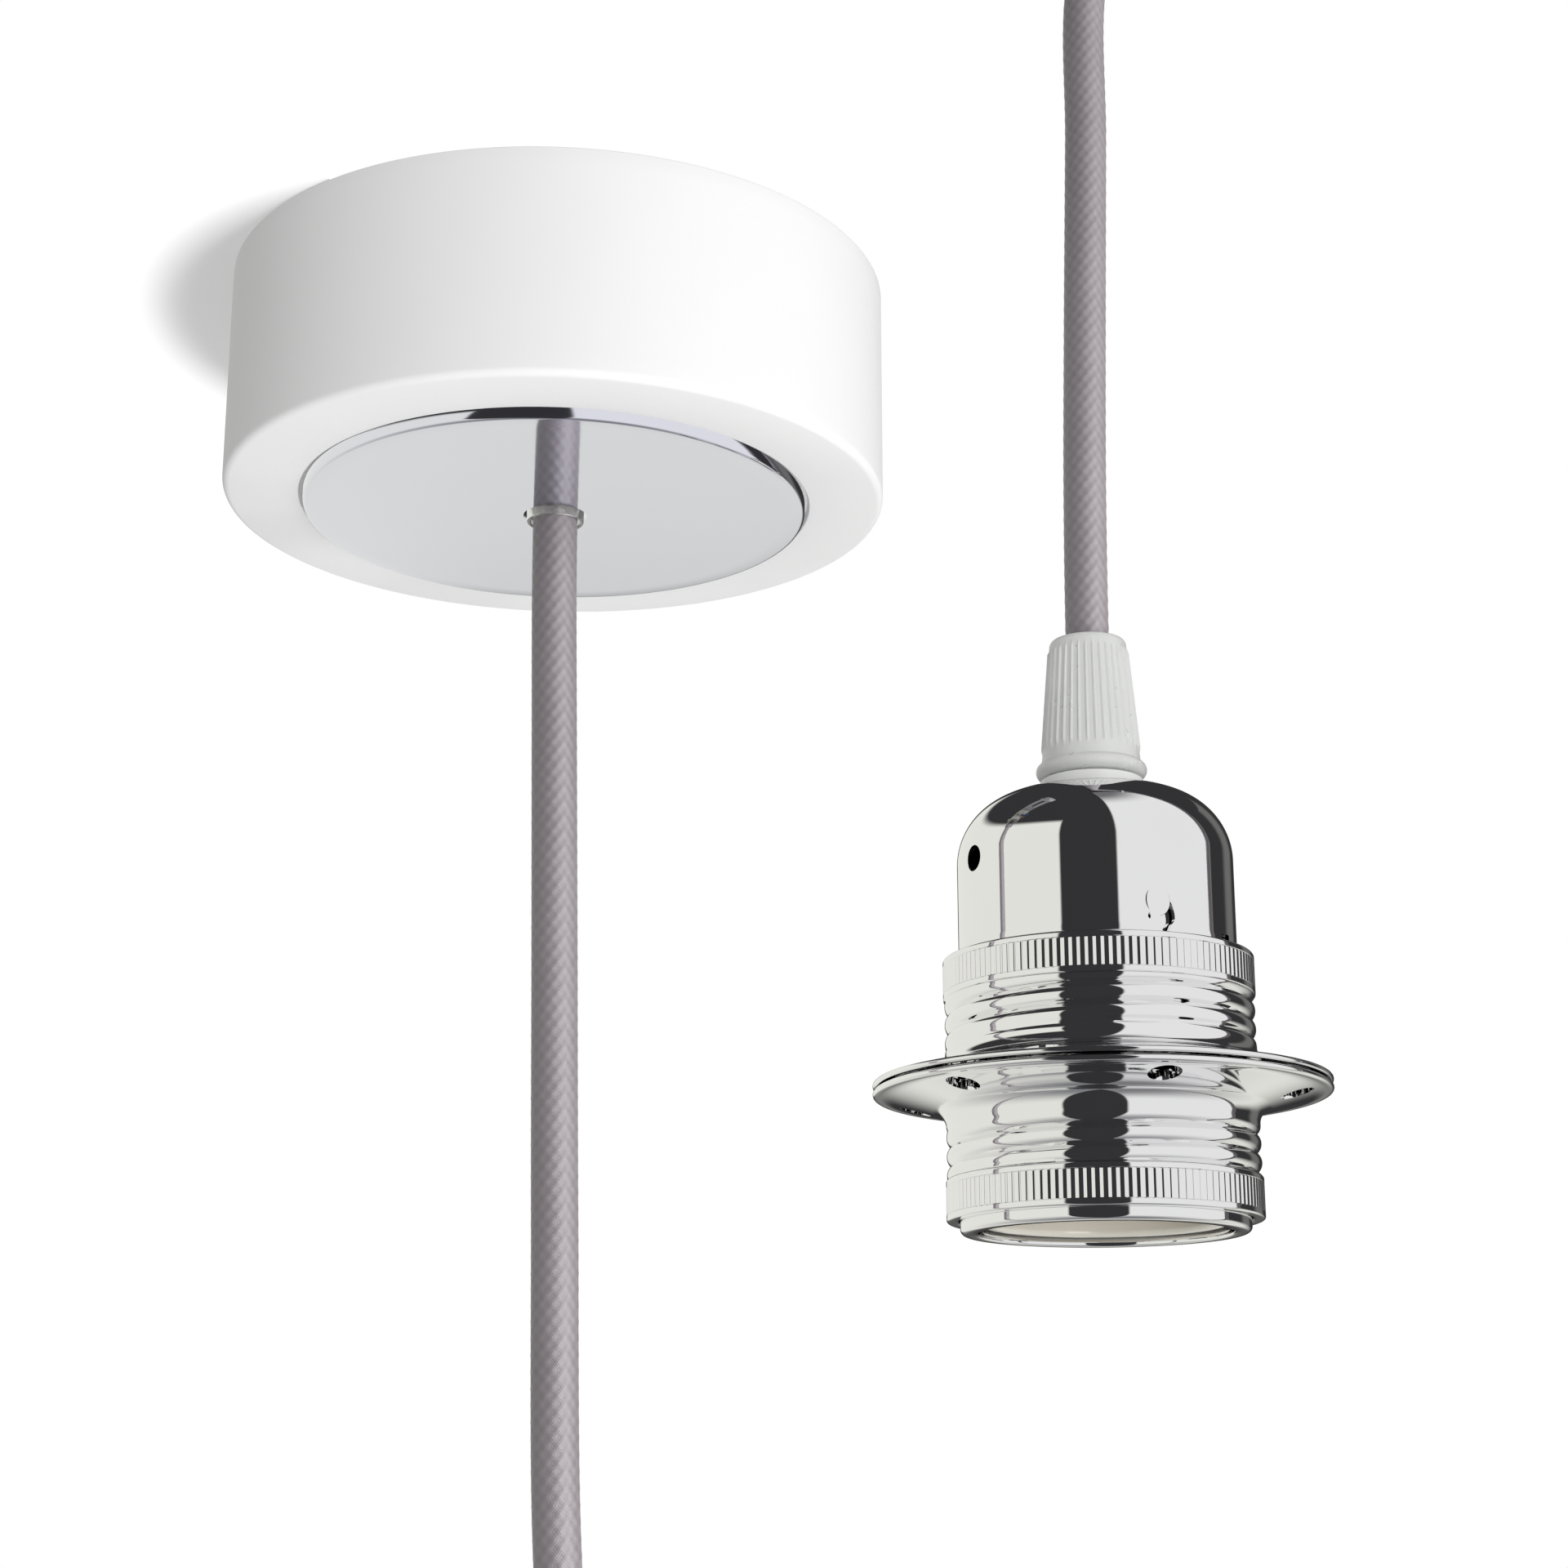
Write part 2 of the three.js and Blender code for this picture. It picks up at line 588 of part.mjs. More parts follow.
// Sheet ring that stands on the plane z = 0: flange, flare, rolled thread and knurled collar
function shadeRing(turn) {
  const flareCentre = THREAD_CREST_R + FLARE_R;
  const coneDeg = THREE.MathUtils.radToDeg(CONE_ANGLE);
  const knurlLow = COLLAR_Z + COLLAR_LIP;
  const knurlHigh = RING_TOP_Z - COLLAR_LIP;
  const knurlFoot = COLLAR_R - KNURL_DEPTH - 0.1;
  const rolls = [];
  for (let i = 1; i <= 2 * THREAD_TURNS; i += 1) {
    const radius = i % 2 ? THREAD_CREST_R - THREAD_DEPTH : THREAD_CREST_R;
    rolls.push(point(radius, FLARE_Z + (THREAD_PITCH * i) / 2));
  }
  const body = revolve([
    point(LAND_R, GAP / 2),
    point(FLANGE_R, GAP / 2),
    point(FLANGE_R, GAP / 2 + RING_WALL),
    ...arc(flareCentre, FLARE_Z, FLARE_R, 270 - coneDeg, 180, 3),
    ...rolls,
    point(THREAD_CREST_R - THREAD_DEPTH, COLLAR_Z),
    point(COLLAR_R, COLLAR_Z + COLLAR_CHAMFER),
    point(COLLAR_R, knurlLow),
    point(knurlFoot, knurlLow),
    point(knurlFoot, knurlHigh),
    point(COLLAR_R, knurlHigh),
    point(COLLAR_R, RING_TOP_Z - COLLAR_CHAMFER),
    point(COLLAR_R - COLLAR_CHAMFER, RING_TOP_Z),
    point(RING_BORE_R, RING_TOP_Z),
    ...arc(flareCentre, FLARE_Z, flareCentre - RING_BORE_R, 180, 270 - coneDeg, 3),
  ], RING_SEGMENTS);
  const holes = [];
  for (let i = 0; i < RING_HOLES; i += 1) {
    const place = outward(turn + (2 * Math.PI * i) / RING_HOLES).multiplyScalar(RING_HOLE_PITCH_R);
    holes.push(rod(RING_HOLE_D / 2, -1, FLARE_Z, 12).translate(place.x, place.y, 0));
  }
  return cut(join(body, knurl(knurlLow, knurlHigh)), ...holes);
}

// Toothed band that fills the collar's groove
function knurl(low, high) {
  const outline = [];
  for (let i = 0; i < 2 * KNURL_COUNT; i += 1) {
    const angle = (Math.PI * i) / KNURL_COUNT;
    const radius = i % 2 ? COLLAR_R - KNURL_DEPTH : COLLAR_R;
    outline.push(point(radius * Math.cos(angle), radius * Math.sin(angle)));
  }
  const shape = new THREE.Shape(outline);
  const inner = COLLAR_R - 2 * KNURL_DEPTH;
  shape.holes.push(new THREE.Path(arc(0, 0, inner, 0, 360 - 360 / KNURL_COUNT, KNURL_COUNT - 1)));
  const band = new THREE.ExtrudeGeometry(shape, { depth: high - low, bevelEnabled: false });
  return band.translate(0, 0, low);
}

add(holder, 'shade_ring_upper', shadeRing(UPPER_RING_TURN), chrome);
const lowerRing = add(holder, 'shade_ring_lower', shadeRing(LOWER_RING_TURN), chrome);
lowerRing.rotation.x = Math.PI;

// Holder body

function threadedSkirt() {
  return revolve([
    point(MOUTH_BORE_R, MOUTH_Z),
    ...arc(SKIRT_R - MOUTH_EDGE_R, MOUTH_Z + MOUTH_EDGE_R, MOUTH_EDGE_R, -90, 0, 3),
    point(SKIRT_R, SHOULDER_Z),
    point(NECK_R, SHOULDER_Z),
    point(NECK_R, SHOULDER_Z + NECK_H),
    point(NECK_BORE_R, SHOULDER_Z + NECK_H),
    point(NECK_BORE_R, NECK_FOOT_Z),
    point(SKIRT_BORE_R, NECK_FOOT_Z),
    point(SKIRT_BORE_R, MOUTH_Z + SKIRT_WALL),
    point(MOUTH_BORE_R, MOUTH_Z + SKIRT_WALL),
  ], RING_SEGMENTS);
}

function domeShell() {
  const inner = DOME_R - DOME_WALL;
  const shoulder = DOME_R - DOME_SHOULDER_R;
  const shoulderZ = DOME_TOP_Z - DOME_SHOULDER_R;
  return revolve([
    point(inner, DOME_FOOT_Z),
    point(DOME_R, DOME_FOOT_Z),
    ...arc(shoulder, shoulderZ, DOME_SHOULDER_R, 0, 90, 6),
    point(NIPPLE_R + GAP, DOME_TOP_Z),
    point(NIPPLE_R + GAP, DOME_TOP_Z - DOME_WALL),
    ...arc(shoulder, shoulderZ, DOME_SHOULDER_R - DOME_WALL, 90, 0, 5),
  ], DOME_SEGMENTS);
}

// Window with a round foot, for the lanced tab, as a solid along +Z that is laid outward later
function tabOutline(width, height) {
  const half = width / 2;
  return new THREE.Shape([
    point(-half, 0),
    ...arc(0, -height + half, half, 180, 360, 8),
    point(half, 0),
  ]);
}

// Extruded outline turned upright, so that it faces outward on the dome's wall
function onDome(shape, depth, turn, reach, height, lean = 0) {
  const solid = new THREE.ExtrudeGeometry(shape, { depth, bevelEnabled: false });
  solid.translate(0, 0, -depth / 2).rotateX(Math.PI / 2).rotateX(-lean);
  return solid.rotateZ(turn).translate(reach * Math.sin(turn), -reach * Math.cos(turn), height);
}

function holderDome() {
  const hole = layOutward(rod(DOME_HOLE_D / 2, 0, DOME_R + 1, 16), DOME_HOLE_TURN, 0,
    DOME_FOOT_Z + DOME_HOLE_H);
  const tabTop = DOME_FOOT_Z + TAB_RISE + TAB_H;
  const windowTool = onDome(tabOutline(TAB_W, TAB_H), 4, TAB_TURN, DOME_R, tabTop);
  const tongueWidth = TAB_W - 2 * TAB_SLIT;
  const tongue = onDome(tabOutline(tongueWidth, TAB_H - TAB_SLIT), DOME_WALL, TAB_TURN,
    DOME_R - DOME_WALL * 0.8, tabTop + 0.3, TAB_LEAN);
  const notch = layOutward(block(NOTCH_W, NOTCH_H * 2, DOME_R + 1, 0, 0, (DOME_R + 1) / 2),
    NOTCH_TURN, 0, DOME_FOOT_Z);
  return join(cut(domeShell(), hole, windowTool, notch), tongue);
}

function socketBarrel() {
  return revolve([
    point(BARREL_BORE_R, BARREL_FOOT_Z),
    ...arc(BARREL_R - MOUTH_EDGE_R, BARREL_FOOT_Z + MOUTH_EDGE_R, MOUTH_EDGE_R, -90, 0, 2),
    point(BARREL_R, BARREL_TOP_Z),
    point(BARREL_BORE_R, BARREL_TOP_Z),
  ], SOCKET_SEGMENTS);
}

// Rolled screw shell: its wall runs in and out between the two thread radii
function screwShell() {
  const inner = [];
  const outer = [];
  for (let i = 0; i <= 2 * SHELL_TURNS; i += 1) {
    const radius = i % 2 ? SHELL_MINOR_R : SHELL_MAJOR_R;
    const z = SHELL_FOOT_Z + (SHELL_PITCH * i) / 2;
    inner.push(point(radius, z));
    outer.push(point(radius + SHELL_WALL, z));
  }
  return revolve([...outer, ...inner.reverse()], SOCKET_SEGMENTS);
}

function contactBlock() {
  const top = BOSS_FOOT_Z;
  const body = rod(BARREL_R, BLOCK_FOOT_Z, top, SOCKET_SEGMENTS);
  const bosses = [-BOSS_X, BOSS_X].map((x) => block(
    BOSS_W, BOSS_L, BOSS_H + 1, x, 0, top + (BOSS_H - 1) / 2));
  const drills = [-BOSS_X, BOSS_X].map((x) => rod(
    HOLDER_SCREW_D / 2 + GAP, BOSS_TOP_Z - HOLDER_SCREW_L, BOSS_TOP_Z + 1, 10).translate(x, 0, 0));
  const well = rod(3, top - 2, top + 1, 16);
  return cut(join(body, ...bosses), ...drills, well);
}

function contactScrew(x) {
  const screw = panScrew(HOLDER_SCREW_HEAD_D, HOLDER_SCREW_HEAD_H, HOLDER_SCREW_D, 0,
    HOLDER_SCREW_L - GAP);
  return screw.rotateX(Math.PI).translate(x, 0, BOSS_TOP_Z + GAP);
}

// Sprung strip under the contact block, bowed down to meet a lamp's foot
function centreContact() {
  const half = 7;
  const drop = 4;
  const strip = new THREE.Shape([
    point(-half, 0),
    point(half, 0),
    point(half, -CONTACT_T),
    ...arc(0, -drop, 2, 60, 120, 4).map((at) => point(at.x, -drop - (at.y + drop) + 1)),
    point(-half, -CONTACT_T),
  ]);
  const bar = new THREE.ExtrudeGeometry(strip, { depth: CONTACT_W, bevelEnabled: false });
  return bar.translate(0, 0, -CONTACT_W / 2).rotateX(Math.PI / 2).translate(0, 0, CONTACT_TOP_Z);
}

// Angle strip at the side that joins the screw shell to its terminal
function sideContact() {
  const facet = SHELL_MINOR_R * Math.cos(Math.PI / SOCKET_SEGMENTS);
  const reach = Math.sqrt(facet ** 2 - (CONTACT_W / 2) ** 2) - GAP;
  const foot = block(CONTACT_T, CONTACT_W, 4, reach - CONTACT_T / 2, 0, CONTACT_TOP_Z - 2);
  const arm = block(4, CONTACT_W, CONTACT_T, reach - 2, 0, CONTACT_TOP_Z - CONTACT_T / 2);
  return join(foot, arm);
}

function holderWire(name, side) {
  const start = CORD_END_Z - GAP;
  const seat = wireSeat(name, start);
  return tube([
    seat,
    wireSeat(name, NIPPLE_END_Z + 0.5),
    space(side * 2, 0, NIPPLE_END_Z - 1.5),
    space(side * 3.4, 0, BOSS_TOP_Z - 0.4),
    space(side * (BOSS_X - BOSS_W / 2 - GAP - WIRE_D / 2), 0, BOSS_TOP_Z - 2.6),
  ], WIRE_D, WIRE_SIDES, WIRE_STEPS);
}

function holderEarthWire() {
  const start = CORD_END_Z - GAP;
  const tail = TAG_R + TAG_TAIL;
  return tube([
    wireSeat('earth', start),
    wireSeat('earth', NIPPLE_END_Z + 0.5),
    space(0, 3.4, NIPPLE_END_Z - 2),
    space(0, 7.5, NIPPLE_END_Z - 1.5),
    space(0, tail - 0.8, NUT_TOP_Z - NUT_H),
    space(0, tail - 1, TAG_TOP_Z - TAG_T - GAP),
  ], WIRE_D, WIRE_SIDES, WIRE_STEPS);
}

// Ring with a tail, clamped under the nut
function earthTag() {
  const hole = NIPPLE_R + GAP;
  const ring = revolve([
    point(hole, TAG_TOP_Z - TAG_T),
    point(TAG_R, TAG_TOP_Z - TAG_T),
    point(TAG_R, TAG_TOP_Z),
    point(hole, TAG_TOP_Z),
  ], 24);
  const length = TAG_TAIL + TAG_R - hole - 0.5;
  const tail = block(TAG_TAIL_W, length, TAG_T, 0, hole + 0.5 + length / 2, TAG_TOP_Z - TAG_T / 2);
  return join(ring, tail);
}

add(holder, 'threaded_skirt', threadedSkirt(), chrome);
add(holder, 'holder_dome', holderDome(), chrome);
add(holder, 'socket_barrel', socketBarrel(), ceramic);
add(holder, 'screw_shell', screwShell(), brass);
add(holder, 'contact_block', contactBlock(), ceramic);
add(holder, 'contact_screw_live', contactScrew(-BOSS_X), brass);
add(holder, 'contact_screw_neutral', contactScrew(BOSS_X), brass);
add(holder, 'centre_contact', centreContact(), brass);
add(holder, 'side_contact', sideContact(), brass);
add(holder, 'holder_wire_live', holderWire('live', -1), { color: 0x7a4a2a, roughness: 0.5 });
add(holder, 'holder_wire_neutral', holderWire('neutral', 1), { color: 0x3a62a8, roughness: 0.5 });
add(holder, 'holder_wire_earth', holderEarthWire(), { color: 0x6f9a3a, roughness: 0.5 });
add(holder, 'earth_tag', earthTag(), brass);

// Cord grip

function gripCap() {
  const slope = (GRIP_FOOT_R - GRIP_TOP_R) / (GRIP_CAP_H - GRIP_BEAD_H);
  const roof = CAP_TOP_Z - GRIP_ROOF;
  const boreAt = (z) => GRIP_FOOT_R - slope * (z - CAP_FOOT_Z) - GRIP_WALL;
  const body = revolve([
    point(boreAt(CAP_FOOT_Z), CAP_FOOT_Z),
    ...arc(GRIP_BEAD_R - GRIP_BEAD_H / 2, CAP_FOOT_Z + GRIP_BEAD_H / 2, GRIP_BEAD_H / 2, -90, 90, 6),
    point(GRIP_FOOT_R, CAP_FOOT_Z + GRIP_BEAD_H),
    point(GRIP_TOP_R, CAP_TOP_Z - GRIP_EDGE_R),
    point(GRIP_TOP_R - GRIP_EDGE_R, CAP_TOP_Z),
    point(BORE_R, CAP_TOP_Z),
    point(BORE_R, roof),
    point(boreAt(roof), roof),
  ], 2 * GRIP_RIBS);
  const grooves = [];
  for (let i = 0; i < GRIP_RIBS; i += 1) {
    grooves.push(flute((2 * Math.PI * (i + 0.5)) / GRIP_RIBS));
  }
  return cut(body, ...grooves);
}

// Three-sided groove cutter that follows the cap's taper
function flute(turn) {
  const low = CAP_FOOT_Z + GRIP_BEAD_H + 0.8;
  const high = CAP_TOP_Z + 0.5;
  const slope = (GRIP_FOOT_R - GRIP_TOP_R) / (GRIP_CAP_H - GRIP_BEAD_H);
  const width = 0.55;
  const shape = new THREE.Shape([point(-width, 1), point(0, -GRIP_RIB_DEPTH), point(width, 1)]);
  const bar = new THREE.ExtrudeGeometry(shape, { depth: high - low, bevelEnabled: false });
  const lean = Math.atan(slope);
  bar.rotateZ(Math.PI).rotateX(-lean).translate(0, -GRIP_FOOT_R, low);
  return bar.rotateZ(turn);
}

function gripBase() {
  const slope = (GRIP_FOOT_R - GRIP_TOP_R) / (GRIP_CAP_H - GRIP_BEAD_H);
  const colletTop = CAP_TOP_Z - GRIP_ROOF - GAP;
  const outerAt = (z) => GRIP_FOOT_R - slope * (z - CAP_FOOT_Z) - GRIP_WALL - GAP;
  const body = revolve([
    point(BORE_R, NIPPLE_END_Z),
    point(NIPPLE_R, NIPPLE_END_Z),
    point(NIPPLE_R, GRIP_FOOT_Z),
    point(GRIP_BASE_R, GRIP_FOOT_Z),
    point(GRIP_BASE_R, GRIP_FOOT_Z + GRIP_BASE_H),
    point(outerAt(CAP_FOOT_Z), GRIP_FOOT_Z + GRIP_BASE_H),
    point(outerAt(colletTop), colletTop),
    point(BORE_R, colletTop),
  ], 28);
  const slitFoot = GRIP_FOOT_Z + GRIP_BASE_H + 3;
  const slitHeight = colletTop + 1 - slitFoot;
  const slits = [0, Math.PI / 2].map((turn) => block(
    1, 2 * GRIP_BASE_R, slitHeight, 0, 0, slitFoot + slitHeight / 2).rotateZ(turn));
  return cut(body, ...slits);
}

add(holder, 'grip_cap', gripCap(), clear);
add(holder, 'grip_base', gripBase(), clear);
add(holder, 'grip_nut', hexagon(NUT_ACROSS, NIPPLE_R + GAP, NUT_TOP_Z - NUT_H, NUT_TOP_Z), steel);

export default group;
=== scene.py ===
"""Fine surfaces, finishes, light and camera for a pendant cord set."""

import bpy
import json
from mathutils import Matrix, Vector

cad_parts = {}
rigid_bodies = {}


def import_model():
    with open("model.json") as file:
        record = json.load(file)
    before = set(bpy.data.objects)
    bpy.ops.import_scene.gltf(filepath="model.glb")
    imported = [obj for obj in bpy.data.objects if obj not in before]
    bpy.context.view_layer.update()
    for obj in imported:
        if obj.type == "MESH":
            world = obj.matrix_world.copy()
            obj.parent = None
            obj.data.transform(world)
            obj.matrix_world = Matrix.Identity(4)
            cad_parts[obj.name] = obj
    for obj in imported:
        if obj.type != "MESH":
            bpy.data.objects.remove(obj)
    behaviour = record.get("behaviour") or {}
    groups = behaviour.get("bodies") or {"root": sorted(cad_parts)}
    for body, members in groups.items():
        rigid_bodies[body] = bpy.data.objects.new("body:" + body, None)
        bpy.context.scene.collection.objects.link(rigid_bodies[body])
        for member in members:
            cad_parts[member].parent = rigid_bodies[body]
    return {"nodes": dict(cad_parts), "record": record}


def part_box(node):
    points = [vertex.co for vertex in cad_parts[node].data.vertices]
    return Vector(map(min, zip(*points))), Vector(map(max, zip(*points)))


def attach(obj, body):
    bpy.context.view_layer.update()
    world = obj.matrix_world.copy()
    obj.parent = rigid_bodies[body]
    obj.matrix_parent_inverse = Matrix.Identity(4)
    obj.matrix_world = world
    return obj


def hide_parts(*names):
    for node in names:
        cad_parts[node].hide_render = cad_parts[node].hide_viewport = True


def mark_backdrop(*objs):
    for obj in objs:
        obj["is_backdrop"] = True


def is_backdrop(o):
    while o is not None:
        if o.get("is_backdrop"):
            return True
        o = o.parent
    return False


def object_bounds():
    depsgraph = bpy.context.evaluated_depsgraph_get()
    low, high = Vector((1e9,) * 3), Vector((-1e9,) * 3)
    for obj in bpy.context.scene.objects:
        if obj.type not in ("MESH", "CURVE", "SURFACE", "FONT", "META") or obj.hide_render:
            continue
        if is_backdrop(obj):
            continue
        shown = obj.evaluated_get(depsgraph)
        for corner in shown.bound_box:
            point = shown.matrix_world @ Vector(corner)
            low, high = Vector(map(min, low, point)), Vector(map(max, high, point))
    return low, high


bl_info = {
    "name": "Pendant cord set",
    "version": (1, 0, 0),
    "blender": (4, 5, 0),
    "location": "View3D > Sidebar > Pendant",
    "description": "Builds the fine surfaces and finishes of a pendant cord set",
    "category": "Object",
}

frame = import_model()

import json
import math

import bmesh
import bpy
import numpy as np
from bpy.props import FloatProperty, FloatVectorProperty, IntProperty, PointerProperty
from mathutils import Matrix, Vector

CAD_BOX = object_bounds()
MM = 0.001
BODY = "root"

# Gap between seated pieces, size of a small broken edge, and how near two sizes count as the same
FIT = 0.3 * MM
BROKEN_EDGE = 0.2 * MM
SAME = 0.01 * MM

# Faces round large and small turned pieces, round the rings and round the ribbed cap
LARGE_ROUND = 256
SMALL_ROUND = 128
RING_ROUND = 288
CAP_ROUND = 432


def seat(node):
    """Centre, lowest and highest place and radius of a round CAD node."""
    low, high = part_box(node)
    middle = (low + high) / 2
    return Vector((middle.x, middle.y)), low.z, high.z, (high.x - low.x) / 2


ROSE_AXIS, ROSE_FACE, ROSE_TOP, ROSE_R = seat("rose_housing")
_, DISC_FACE, DISC_BACK, DISC_R = seat("rose_cover_disc")
_, BUSH_LIP, BUSH_TOP, BUSH_FLANGE_R = seat("cord_bush")
HOLDER_AXIS, _, RING_TOP, FLANGE_R = seat("shade_ring_upper")
RINGS_MEET = (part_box("shade_ring_upper")[0].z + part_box("shade_ring_lower")[1].z) / 2
_, MOUTH, NECK_TOP, SKIRT_R = seat("threaded_skirt")
_, DOME_FOOT, DOME_TOP, DOME_R = seat("holder_dome")
_, BARREL_FOOT, BARREL_TOP, BARREL_R = seat("socket_barrel")
_, SHELL_FOOT, SHELL_TOP, SHELL_R = seat("screw_shell")
_, CAP_FOOT, CAP_TOP, CAP_R = seat("grip_cap")
_, GRIP_LOW, COLLET_TOP, GRIP_BASE_R = seat("grip_base")
_, NUT_LOW, NUT_TOP, _ = seat("grip_nut")


# Settings

def length(name, description, millimetres):
    """Size that a user gives in Blender's length unit, with its default in millimetres."""
    return FloatProperty(name=name, description=description, default=millimetres * MM,
                         unit="LENGTH", subtype="DISTANCE", precision=5)


def colour(name, description, rgb):
    return FloatVectorProperty(name=name, description=description, default=rgb, size=3,
                               min=0.0, max=1.0, subtype="COLOR")


def turn(name, description, degrees):
    return FloatProperty(name=name, description=description, default=math.radians(degrees),
                         unit="ROTATION", subtype="ANGLE")


class PENDANT_PG_rose(bpy.types.PropertyGroup):
    wall: length("Wall", "Thickness of the cup's side", 2)
    edge: length("Edge", "Rounding between the cup's side and its face", 1.0)
    floor: length("Floor", "Thickness of the cup's face under the disc", 1.8)
    rim_gap: length("Rim gap", "Gap between the disc and the recess that holds it", 0.6)
    disc_edge: length("Disc edge", "Rounding of the polished disc", 0.5)
    bush_wall: length("Bush wall", "Thickness of the clear bush round the cord", 0.5)
    paint: colour("Paint", "Matt powder coat", (0.90, 0.90, 0.90))
    disc: colour("Disc", "Polished plate", (0.83, 0.84, 0.92))


class PENDANT_PG_cord(bpy.types.PropertyGroup):
    diameter: length("Diameter", "Outer diameter over the braid", 6)
    carriers: IntProperty(name="Carriers", description="Braid strands each way", default=12, min=4)
    pick: length("Pick", "Distance along the cord between two rows of strands", 1.0)
    relief: length("Relief", "How far a strand stands out at its crossings", 0.04)
    ring_step: length("Step", "Distance between two rings of the cord's mesh", 0.45)
    # shade is painted shade in the hollows between the braid's strands, also used for dark random patches;
    # light is the tone of the raised crossings and light patches
    shade: colour("Shade yarn", "Yarn of the braid's hollows and dark patches, painted shade in the hollows", (0.155, 0.135, 0.150))
    light: colour("Light yarn", "Yarn of the braid's raised crossings and light patches", (0.235, 0.210, 0.225))
    hook_rod: length("Hook rod", "Diameter of the support hook", 4)


class PENDANT_PG_rings(bpy.types.PropertyGroup):
    wall: length("Wall", "Thickness of the rolled sheet", 0.8)
    land: length("Land", "Flat width at the flange's rim", 1.6)
    cone: turn("Cone", "Rise of the flange towards the thread", 15)
    flare: length("Flare", "Radius between the flange and the thread", 2.4)
    crest: length("Thread crest", "Radius over the rolled thread", 20.45)
    depth: length("Thread depth", "Depth of the rolled thread", 0.62)
    pitch: length("Thread pitch", "Rise of the thread in one turn", 2.5)
    turns: FloatProperty(name="Turns", description="Turns of thread", default=2.75, min=1.0)
    collar: length("Collar", "Radius over the knurl", 20.6)
    lip: length("Lip", "Smooth band above and below the knurl", 0.9)
    teeth: IntProperty(name="Teeth", description="Ridges in the knurl", default=120, min=8)
    tooth_width: length("Tooth width", "Width of a ridge of the knurl", 1.42)
    tooth_depth: length("Tooth depth", "Depth of the knurl", 0.3)
    holes: IntProperty(name="Holes", description="Holes in a flange", default=6, min=1)
    hole: length("Hole", "Diameter of a flange hole", 4.3)
    hole_circle: length("Hole circle", "Radius on which the flange holes lie", 25.6)
    upper_turn: turn("Upper turn", "Turn of the upper ring's holes", 7)
    lower_turn: turn("Lower turn", "Turn of the lower ring's holes", -19)
    plate: colour("Plate", "Bright chrome plate", (0.90, 0.90, 0.905))


class PENDANT_PG_dome(bpy.types.PropertyGroup):
    wall: length("Wall", "Thickness of the dome and the skirt", 0.8)
    shoulder: length("Shoulder", "Rounding at the top of the dome", 9.5)
    nipple: length("Nipple hole", "Radius of the hole for the grip", 5.3)
    hole: length("Hole", "Diameter of the side hole", 3.5)
    hole_height: length("Hole height", "Height of the side hole above the foot", 12)
    hole_turn: turn("Hole turn", "Turn of the side hole from the front", -65.6)
    lug_turn: turn("Lug turn", "Turn of the pressed lug from the front", 18.7)
    lug_rise: length("Lug rise", "Height of the lug's bump above the dome's foot", 4.1)
    lug_size: length("Lug size", "Height of the lug with its opening", 5.3)
    lug_width: length("Lug width", "Width of the pressed bump", 3.5)
    lug_proud: length("Lug proud", "How far the bump stands out", 0.12)
    notch_turn: turn("Notch turn", "Turn of the notch in the foot", 58)
    notch_width: length("Notch width", "Width of the notch in the foot", 2.2)
    notch_height: length("Notch height", "Height of the notch in the foot", 1.3)
    mouth_edge: length("Mouth edge", "Rounding of the rim at the mouth", 0.7)


class PENDANT_PG_socket(bpy.types.PropertyGroup):
    barrel_wall: length("Barrel wall", "Thickness of the ceramic barrel", 2)
    shell_wall: length("Shell wall", "Thickness of the screw shell", 0.4)
    shell_depth: length("Shell thread", "Depth of the lamp thread", 1.1)
    shell_pitch: length("Shell pitch", "Rise of the lamp thread in one turn", 3.6)
    glaze: colour("Glaze", "Glazed ceramic", (0.87, 0.84, 0.74))
    metal: colour("Contact metal", "Brass of the shell and contacts", (0.76, 0.60, 0.33))


class PENDANT_PG_grip(bpy.types.PropertyGroup):
    wall: length("Wall", "Thickness of the cap", 1.1)
    top_radius: length("Top radius", "Radius at the top of the cap", 5.2)
    foot_radius: length("Foot radius", "Radius above the bead", 6.7)
    bead: length("Bead", "Height of the rounded bead at the foot", 2.1)
    roof: length("Roof", "Depth of the narrow bore at the top", 7.5)
    edge: length("Edge", "Rounding at the top of the cap", 0.6)
    ribs: IntProperty(name="Ribs", description="Ribs round the cap", default=36, min=4)
    rib_height: length("Rib height", "How far a rib stands out", 0.22)
    bore: length("Bore", "Radius of the cord's bore", 3.3)
    nipple: length("Nipple", "Radius of the threaded end", 5.0)
    base_height: length("Base", "Height of the base under the cap", 1.9)
    tint: colour("Tint", "Frosted clear plastic", (0.91, 0.92, 0.90))


class PENDANT_PG_stage(bpy.types.PropertyGroup):
    ambient: FloatProperty(name="Ambient", description="Light from all sides", default=0.385)
    side: FloatProperty(name="Side", description="More light from the right than from the left",
                        default=0.34)
    key: FloatProperty(name="Key", description="Power of the large lamp on the right in watts",
                       default=2.24)
    satin: FloatProperty(name="Satin", description="Power of the cord's own lamp in watts",
                         default=5.0)
    lift: FloatProperty(name="Lift", description="Power of the rose's lamp below in watts", default=1.5)
    wash: FloatProperty(name="Wash", description="Power of the ceiling's lamp below in watts", default=3.9)
    floor_drop: length("Floor drop", "Distance of the floor under the cord's lowest point", 30)


# Meshes

def link_mesh(name, mesh):
    obj = bpy.data.objects.new(name, mesh)
    bpy.context.scene.collection.objects.link(obj)
    return obj


